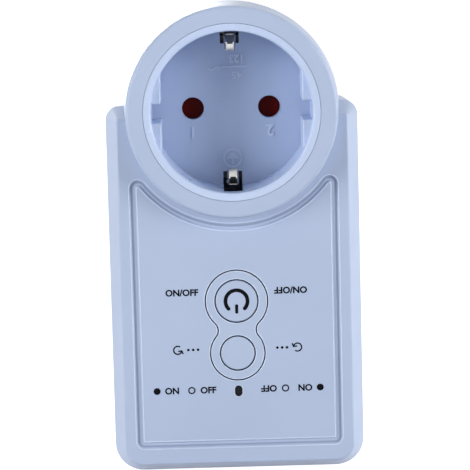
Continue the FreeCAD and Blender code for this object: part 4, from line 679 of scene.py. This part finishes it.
# %% Printed signs
COLLAR_HEIGHT = 5.5 * MM  # how far the collar stands out of the face
face_y = front_y + COLLAR_HEIGHT
ink_layers = (face_y - INK_THICKNESS, face_y)
SIGNS = {
    # name: distance to the side and height on the face of its centre
    "switch": (13.4 * MM, -44.5 * MM),
    "restart": (12.9 * MM, -58.8 * MM),
    "lamp": (12.6 * MM, -69.0 * MM),
}
ARROW_SHIFT, ARROW_RADIUS, ARROW_HALF_STROKE = -1.9 * MM, 1.0 * MM, 0.17 * MM
ARROW_START, ARROW_END = 60, 350
ARROW_BARBS = ((-0.75 * MM, -0.1 * MM), (0.28 * MM, -0.7 * MM))
HOLD_DOTS, HOLD_DOT_RADIUS = (0.7 * MM, 1.9 * MM, 3.1 * MM), 0.32 * MM
FULL_DOT_SHIFT, FULL_DOT_RADIUS = -7.6 * MM, 0.85 * MM
OPEN_DOT_SHIFT, OPEN_DOT_RADIUS, OPEN_DOT_HALF_STROKE = 1.0 * MM, 0.75 * MM, 0.16 * MM
LAMP_WORDS = {"ON": -3.9 * MM, "OFF": 5.1 * MM}


def restart_arrow(centre, half_turn):
    """A round arrow and three dots, as strokes."""
    middle = (centre[0] + ARROW_SHIFT, centre[1])
    ring = arc_line(middle, ARROW_RADIUS, ARROW_START, ARROW_END)
    lines = [ring] + [straight_line(ring[-1] + np.array(barb), ring[-1]) for barb in ARROW_BARBS]
    dots = [dot(centre[0] + shift, centre[1]) for shift in HOLD_DOTS]
    arrow = [stroke_points(turned(line, centre, half_turn), ARROW_HALF_STROKE, *ink_layers) for line in lines]
    return arrow + [stroke_points(turned(d, centre, half_turn), HOLD_DOT_RADIUS, *ink_layers) for d in dots]


def lamp_key(centre, half_turn):
    """A full dot and an open ring, each to the left of its word."""
    full = dot(centre[0] + FULL_DOT_SHIFT, centre[1])
    ring = arc_line((centre[0] + OPEN_DOT_SHIFT, centre[1]), OPEN_DOT_RADIUS, 0, 350)
    return [
        stroke_points(turned(full, centre, half_turn), FULL_DOT_RADIUS, *ink_layers),
        stroke_points(turned(ring, centre, half_turn), OPEN_DOT_HALF_STROKE, *ink_layers),
    ]


for side, direction in (("left", -1), ("right", 1)):
    upside_down = side == "right"
    layers = (*ink_layers, upside_down)
    spots = {sign: (direction * across, height) for sign, (across, height) in SIGNS.items()}
    lettering(f"{side}_switch_words", "ON/OFF", spots["switch"], LETTER_HEIGHT, *layers)
    restart = restart_arrow(spots["restart"], upside_down)
    join_strokes(f"{side}_restart_sign", restart, "printed_ink", "case")
    key = lamp_key(spots["lamp"], upside_down)
    join_strokes(f"{side}_lamp_key", key, "printed_ink", "case")
    for word, shift in LAMP_WORDS.items():
        centre = turned((spots["lamp"][0] + shift, spots["lamp"][1]), spots["lamp"], upside_down)
        lettering(f"{side}_lamp_{word.lower()}_word", word, centre, LETTER_HEIGHT, *layers)
print("printed signs on both sides")

# %% [markdown]
# ### Raised marks in the socket
# The socket's floor has low raised marks in the same plastic: the general sign for earth beside the lower
# clip, a plain number at each hole, and a wave with a line and plain digits near the upper clip.

# %% Raised marks
SOCKET_DEPTH = 17.5 * MM
floor_y = front_y + SOCKET_DEPTH
MARK_HEIGHT = 0.3 * MM
MARK_HALF_STROKE = 0.17 * MM
mark_layers = (floor_y - MARK_HEIGHT, floor_y)
EARTH_X, EARTH_Z, EARTH_RADIUS = 0.15 * MM, -12.6 * MM, 2.2 * MM
EARTH_STEM = 1.5 * MM
EARTH_BARS = ((1.35 * MM, 0.0), (0.9 * MM, 0.5 * MM), (0.45 * MM, 1.0 * MM))  # half length, rise
RULE_LEFT, RULE_RIGHT, RULE_Z = -1.9 * MM, 4.0 * MM, 10.15 * MM
WAVE_START, WAVE_LENGTH, WAVE_HEIGHT = (-5.4 * MM, 9.8 * MM), 2.9 * MM, 0.4 * MM
MARK_DIGITS = {
    # name: digits, centre and height
    "left_hole_digit": ("1", (-9.6 * MM, -6.0 * MM), 2.9 * MM),
    "right_hole_digit": ("2", (9.6 * MM, -5.9 * MM), 2.9 * MM),
    "upper_digits": ("123", (1.45 * MM, 12.1 * MM), 1.9 * MM),
    "lower_digits": ("45", (1.6 * MM, 8.0 * MM), 1.9 * MM),
}


def wave_line(start, length, height, steps=24):
    """One full wave of a sine along X."""
    share = np.linspace(0, 1, steps)
    return np.stack([start[0] + length * share, start[1] - height * np.sin(2 * math.pi * share)], axis=1)


mark_lines = [arc_line((EARTH_X, EARTH_Z), EARTH_RADIUS, 0, 359, 72)]
for half, rise in EARTH_BARS:
    mark_lines.append(straight_line((EARTH_X - half, EARTH_Z + rise), (EARTH_X + half, EARTH_Z + rise)))
mark_lines.append(straight_line((EARTH_X, EARTH_Z), (EARTH_X, EARTH_Z - EARTH_STEM)))
mark_lines.append(straight_line((RULE_LEFT, RULE_Z), (RULE_RIGHT, RULE_Z)))
mark_lines.append(wave_line(WAVE_START, WAVE_LENGTH, WAVE_HEIGHT))
marks = [stroke_points(line, MARK_HALF_STROKE, *mark_layers) for line in mark_lines]
join_strokes("socket_marks", marks, "raised_marks", "case")
for name, (digits, spot, height) in MARK_DIGITS.items():
    lettering(name, digits, spot, height, *mark_layers, True, finish="raised_marks")
print("raised marks on the floor at", round(floor_y, 4))

# %% [markdown]
# ## Earth clips
# Each clip is a stamped leaf of plated steel. It rises along the wall, comes out to the bend that presses on
# the plug, and there it is a small bright square. In front of the bend the leaf is stamped open: two thin
# legs run back towards the wall and a short bar joins them. The leaf is a flat section carried along a bent
# line, and the open end is a narrow strip carried along its own line. Both are one piece.

# %% Earth clips
BEND_REACH = 14.35 * MM  # from the socket's axis, where the photograph shows the bend
LEAF_HALF_THICKNESS = 0.2 * MM
LEAF_HALF_WIDTHS = ((0.0, 1.5), (0.4, 1.45), (0.68, 1.02), (1.0, 0.98))  # share of the length, mm
LEAF_STEPS = 48
SECTION_STEPS = 13
ROOT_INSET = 0.25 * MM
SQUARE_RISE = 1.8 * MM  # how far the solid square climbs in front of the bend
LEG_HALF_THICKNESS, LEG_HALF_WIDTH = 0.17 * MM, 0.2 * MM
LEG_START, LEG_KNEE, LEG_TIP = 0.78, 0.82, 0.55  # shares of the leaf's length from its root
LEG_OVERLAP, KNEE_RISE = 0.35 * MM, 0.3 * MM
LEG_SPREADS = (0.78, 0.9, 1.1, 1.35, 0.5)  # mm from the middle: start, knee, middle, tip and the end's bar
LEG_STEPS, LEG_SECTION_STEPS = 72, 12
TIP_INSET = 0.75 * MM
CLIP_SIDES = {"upper": 1, "lower": -1}


def smooth_line(corners, steps):
    """A uniform cubic B-spline near the corners, which starts and ends at the first and last one."""
    corners = np.asarray(corners, float)
    padded = np.concatenate([corners[:1], corners[:1], corners, corners[-1:], corners[-1:]])
    spans = len(padded) - 3
    place = np.clip(np.linspace(0, spans, steps), 0, spans - 1e-9)
    first = place.astype(int)
    t = (place - first)[:, None]
    weights = ((1 - t) ** 3, 3 * t**3 - 6 * t**2 + 4, -3 * t**3 + 3 * t**2 + 3 * t + 1, t**3)
    return sum(weight * padded[first + k] for k, weight in enumerate(weights)) / 6


def leaf_points(low, high, side):
    """The flat section moves along the leaf's middle line; its half width follows the leaf's length.

    Towards its edges, at a share u of the half width, the section is thinner by 1 - u^8.
    """
    root = max(abs(low.z), abs(high.z)) - LEAF_HALF_THICKNESS - ROOT_INSET
    length = high.y - low.y
    bend = BEND_REACH + LEAF_HALF_THICKNESS
    # share of the length from the root, distance from the socket's axis
    rises = ((0.0, root), (0.12, root), (0.3, root - 0.2 * MM), (0.52, bend + 0.9 * MM), (0.63, bend))
    slope = ((0.7, bend), (0.76, bend + 0.9 * MM), (0.8, bend + SQUARE_RISE))
    line = smooth_line([(high.y - share * length, height) for share, height in rises + slope], LEAF_STEPS)
    way = np.gradient(line, axis=0)
    way /= np.linalg.norm(way, axis=1)[:, None]
    stations, widths = zip(*LEAF_HALF_WIDTHS)
    half_width = np.interp(np.linspace(0, 1, LEAF_STEPS), stations, np.array(widths) * MM)
    across = np.concatenate([np.linspace(-1, 1, SECTION_STEPS), np.linspace(1, -1, SECTION_STEPS)])
    thinner = np.clip(1 - np.abs(across) ** 8, 0.25, 1)
    offset = np.repeat([1.0, -1.0], SECTION_STEPS) * LEAF_HALF_THICKNESS * thinner
    depth = line[:, :1] + way[:, 1:] * offset
    height = line[:, 1:] - way[:, :1] * offset
    return np.stack([half_width[:, None] * across, depth, side * height], axis=-1)


def leg_points(low, high, side):
    """A narrow rounded strip along a U: from one side of the bend to the free end and back."""
    length = high.y - low.y
    bend = BEND_REACH + LEAF_HALF_THICKNESS
    start = (high.y - LEG_START * length, bend + SQUARE_RISE - LEG_OVERLAP)
    knee = (high.y - LEG_KNEE * length, bend + SQUARE_RISE + KNEE_RISE)
    tip = (high.y - LEG_TIP * length, max(abs(low.z), abs(high.z)) - TIP_INSET)
    middle = ((knee[0] + tip[0]) / 2, (knee[1] + tip[1]) / 2)
    half = [(spread * MM, *spot) for spread, spot in zip(LEG_SPREADS, (start, knee, middle, tip, tip))]
    corners = [(-x, y, z) for x, y, z in half] + half[::-1]
    line = smooth_line(corners, LEG_STEPS)
    way = np.gradient(line, axis=0)
    way /= np.linalg.norm(way, axis=1)[:, None]
    slope = np.array([0.0, middle[0] - knee[0], middle[1] - knee[1]])
    flat = np.cross(slope / np.linalg.norm(slope), [1.0, 0.0, 0.0])
    beside = np.cross(way, flat)
    beside /= np.linalg.norm(beside, axis=1)[:, None]
    turn = np.linspace(0, 2 * math.pi, LEG_SECTION_STEPS, endpoint=False)
    points = line[:, None] + beside[:, None] * (LEG_HALF_WIDTH * np.cos(turn))[None, :, None]
    points = points + flat * (LEG_HALF_THICKNESS * np.sin(turn))[None, :, None]
    return points * [1, 1, side]


for name, side in CLIP_SIDES.items():
    node = f"{name}_earth_clip"
    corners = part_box(node)
    grids = [leaf_points(*corners, side), leg_points(*corners, side)]
    leaf = join_strokes(f"{name}_clip_leaf", grids, "plated_steel", f"{name}_clip")
    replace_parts(smooth(leaf, 50), node)
print("two clips of", LEAF_STEPS, "stations")

# %% [markdown]
# ## Seams and small rims
# Around the buttons, the window of the lamp and their surround runs a seam that looks like a fine dark line
# with a light one beside it, because both edges are slightly rounded. The solids have sharp edges there. A
# low ring with a round section and a paler colour, a painted highlight, stands along the edge, and inside it
# a dark ring of painted shade lies over the gap. Every ring is a profile carried along a closed path, so one
# function makes them all.

# %% Rings on a face
BEAD_RISE = 0.07 * MM
BEAD_WIDTH = 0.24 * MM
SHADE_WIDTH = 0.28 * MM
SHADE_RISE = 0.012 * MM
BEAD_SINK = 0.01 * MM  # how far a bead reaches into the face


def offset_loop(loop, distance):
    """A closed path of (x, z) points moved outwards by a distance along its own normals."""
    way = np.roll(loop, -1, axis=0) - np.roll(loop, 1, axis=0)
    way /= np.linalg.norm(way, axis=1)[:, None]
    return loop + np.stack([way[:, 1], -way[:, 0]], axis=1) * distance


def closed_ring(name, loop, profile, face, finish, body):
    """A profile of (outwards, height) points carried round a closed path on a face that looks along -Y."""
    rings = []
    for out, height in profile:
        spot = offset_loop(loop, out)
        rings.append(np.stack([spot[:, 0], np.full(len(spot), face - height), spot[:, 1]], axis=1))
    points = np.stack(rings, axis=1)
    along, around = points.shape[:2]
    index = np.arange(along * around).reshape(along, around)
    ahead, beside = np.roll(index, -1, axis=0), np.roll(index, -1, axis=1)
    quads = np.stack([index, beside, np.roll(ahead, -1, axis=1), ahead], axis=-1).reshape(-1, 4)
    mesh = bpy.data.meshes.new(name)
    mesh.from_pydata(points.reshape(-1, 3).tolist(), [], quads.tolist())
    return smooth(place_piece(name, mesh, finish, body), 60)


def circle_loop(centre, radius, steps=128):
    """A circle as a closed path."""
    angle = np.linspace(0, 2 * math.pi, steps, endpoint=False)
    return np.stack([centre[0] + radius * np.cos(angle), centre[1] + radius * np.sin(angle)], axis=1)


def bead_profile(middle, width=BEAD_WIDTH, rise=BEAD_RISE):
    """Half an ellipse standing on the face, closed just under it."""
    angle = np.linspace(0, math.pi, 9)
    top = [(middle + width / 2 * math.cos(a), rise * math.sin(a)) for a in angle]
    return top + [(middle - width / 2, -BEAD_SINK), (middle + width / 2, -BEAD_SINK)]


def shade_profile(middle, width=SHADE_WIDTH):
    """A thin flat band that lies on the face, for painted shade."""
    outer, inner = middle + width / 2, middle - width / 2
    return [(outer, SHADE_RISE), (inner, SHADE_RISE), (inner, 0.0), (outer, 0.0)]


print("beads", round(BEAD_WIDTH / MM, 2), "mm wide, shades", round(SHADE_WIDTH / MM, 2), "mm wide")

# %% [markdown]
# ### Paths of the seams
# The surround is two round plates joined by a waist, the panel is a box whose top follows the collar, and
# the lamp's window is a slot with round ends. Each outline is arcs and lines that touch without a corner, so
# the centres follow from the radii. The sizes are those of the construction model.


# %% Paths of the seams
PANEL_SIDE, PANEL_FOOT, PANEL_HOLLOW = 25.3 * MM, 83.2 * MM, 27.9 * MM
PANEL_HEAD, PANEL_CORNER = 1.9 * MM, 1.7 * MM


def outer_radius(node, depth, reach=0.45 * MM):
    """Largest radius about its own centre line that a round solid has near a depth."""
    flat = np.empty(len(nodes[node].data.vertices) * 3)
    nodes[node].data.vertices.foreach_get("co", flat)
    flat = flat.reshape(-1, 3)
    near = flat[np.abs(flat[:, 1] - depth) < reach][:, [0, 2]]
    return float((near.max(0) - near.min(0)).max() / 2)


def figure_eight(top, upper, bottom, lower, waist, steps=64):
    """Two circles joined by hollow arcs that leave half a waist between them, counterclockwise.

    With t the drop of the hollow arc's centre, B its radius and P the pitch of the circles,
    (waist + B)^2 + t^2 = (upper + B)^2 and t = a + b B, which is a quadratic equation for B.
    """
    pitch = top[1] - bottom[1]
    a = (pitch**2 + upper**2 - lower**2) / (2 * pitch)
    b = (upper - lower) / pitch
    q, c = 2 * a * b + 2 * (waist - upper), a**2 + waist**2 - upper**2
    blend = 2 * c / (-q + math.sqrt(q**2 - 4 * b**2 * c))
    drop, side = a + b * blend, waist + blend
    high = math.degrees(math.atan2(-drop, side))
    low = math.degrees(math.atan2(pitch - drop, side))
    right, left = (top[0] + side, top[1] - drop), (top[0] - side, top[1] - drop)
    arcs = [
        arc_line(top, upper, high, 180 - high, 2 * steps),
        arc_line(left, blend, -high, -low, steps // 2),
        arc_line(bottom, lower, 180 - low, 360 + low, 2 * steps),
        arc_line(right, blend, 180 + low, 180 + high, steps // 2),
    ]
    return np.concatenate([arc[:-1] for arc in arcs])


def panel_outline(inset, steps=16):
    """The sunk panel's outline: two foot corners, two round heads and a hollow arc round the socket's axis.

    A head of radius H touches the side, and from outside the hollow of radius R, so its centre lies at
    (side - H) across and sqrt((R + H)^2 - (side - H)^2) below the axis.
    """
    side, foot, hollow = PANEL_SIDE - inset, PANEL_FOOT - inset, PANEL_HOLLOW + inset
    head, corner = PANEL_HEAD - inset, PANEL_CORNER - inset
    across = side - head
    drop = math.sqrt((hollow + head) ** 2 - across**2)
    lean = math.degrees(math.atan2(drop, across))
    arcs = [
        arc_line((corner - side, corner - foot), corner, 180, 270, steps),
        arc_line((side - corner, corner - foot), corner, 270, 360, steps),
        arc_line((across, -drop), head, 0, 180 - lean, 2 * steps)[:-1],
        arc_line((0, 0), hollow, -lean, lean - 180, 6 * steps)[:-1],
        arc_line((-across, -drop), head, lean, 180, 2 * steps),
    ]
    return np.concatenate(arcs)


def stadium(centre, width, height, steps=48):
    """An upright rounded window: two half circles and the straight sides between them."""
    radius = width / 2
    shift = height / 2 - radius
    top = arc_line((centre[0], centre[1] + shift), radius, 0, 180, steps)
    low = arc_line((centre[0], centre[1] - shift), radius, 180, 360, steps)
    return np.concatenate([top, low])


lower_button = centre_of("reset_button")
power_spot, reset_spot = (button.x, button.z), (lower_button.x, lower_button.z)
power_radius = outer_radius("power_button", cap_y)
reset_radius = outer_radius("reset_button", cap_y)
print("seams round buttons of", round(power_radius / MM, 2), "and", round(reset_radius / MM, 2), "mm")

# %% [markdown]
# ### Seams of the buttons and their surround
# Each seam has a band of painted shade over the gap and a bead with a painted highlight outside it. The
# surround has a bead inside its edge too. A button's seam starts just outside the button, so that the button
# moves freely through it.

# %% Seams of the buttons
UPPER_RIM, LOWER_RIM, WAIST = 2.5 * MM, 2.53 * MM, 4.65 * MM
BUTTON_SEAM = 0.16 * MM
SURROUND_SEAM = 0.05 * MM
BEAD_OUTSIDE_SEAM = 0.27 * MM
BEAD_INSIDE_EDGE = 0.24 * MM
surround = figure_eight(power_spot, power_radius + UPPER_RIM, reset_spot, reset_radius + LOWER_RIM, WAIST)
SEAMS = {
    # name: path, how far outside it the dark band's middle lies
    "surround_seam": (surround, SURROUND_SEAM),
    "power_button_seam": (circle_loop(power_spot, power_radius), BUTTON_SEAM),
    "reset_button_seam": (circle_loop(reset_spot, reset_radius), BUTTON_SEAM),
}


def case_ring(name, loop, profile, finish, face=face_y):
    """A ring that belongs to the case."""
    return closed_ring(name, loop, profile, face, finish, "case")


for name, (loop, middle) in SEAMS.items():
    case_ring(name, loop, shade_profile(middle), "seam_shade")
    case_ring(f"{name}_bead", loop, bead_profile(middle + BEAD_OUTSIDE_SEAM), "highlight_edge")
case_ring("surround_edge_bead", surround, bead_profile(-BEAD_INSIDE_EDGE), "highlight_edge")
print(len(SEAMS), "seams")

# %% [markdown]
# ### Groove, window and pin holes
# The groove round the panel is darkest at the foot of its outer wall, so a dull band of painted shade lies
# there, and both of its edges have a bead with a painted highlight beside their rounding. The window of the
# lamp and the two pin holes have a fine rim, the window's with a painted highlight.

# %% Groove, window and pin holes
GROOVE_WIDTH, GROOVE_DEPTH, GROOVE_LIP = 1.2 * MM, 0.4 * MM, 0.25 * MM
GROOVE_SHADE_INSET, GROOVE_SHADE_WIDTH = 0.34 * MM, 0.5 * MM
WINDOW_WIDTH, WINDOW_HEIGHT = 1.75 * MM, 2.65 * MM
WINDOW_BEAD = (0.15 * MM, 0.18 * MM)  # middle, width
PIN_X, HOLE_RADIUS = 9.5 * MM, 2.75 * MM
HOLE_BEAD = (0.13 * MM, 0.22 * MM, 0.1 * MM)  # middle, width, rise
shade, groove_floor = shade_profile(0, GROOVE_SHADE_WIDTH), face_y + GROOVE_DEPTH
case_ring("groove_shade", panel_outline(GROOVE_SHADE_INSET), shade, "groove_shade", groove_floor)
lip_bead = GROOVE_LIP + BEAD_WIDTH / 2
case_ring("groove_outer_bead", panel_outline(0), bead_profile(lip_bead), "highlight_edge")
case_ring("groove_inner_bead", panel_outline(GROOVE_WIDTH), bead_profile(-lip_bead), "highlight_edge")
window = centre_of("light_guide")
pill = stadium((window.x, window.z), WINDOW_WIDTH, WINDOW_HEIGHT)
case_ring("window_bead", pill, bead_profile(*WINDOW_BEAD), "highlight_edge")
for side, pin_x in (("left", -PIN_X), ("right", PIN_X)):
    hole = circle_loop((pin_x, 0.0), HOLE_RADIUS)
    case_ring(f"{side}_hole_rim", hole, bead_profile(*HOLE_BEAD), "socket_insert", floor_y)
print("groove, window and two pin holes edged")
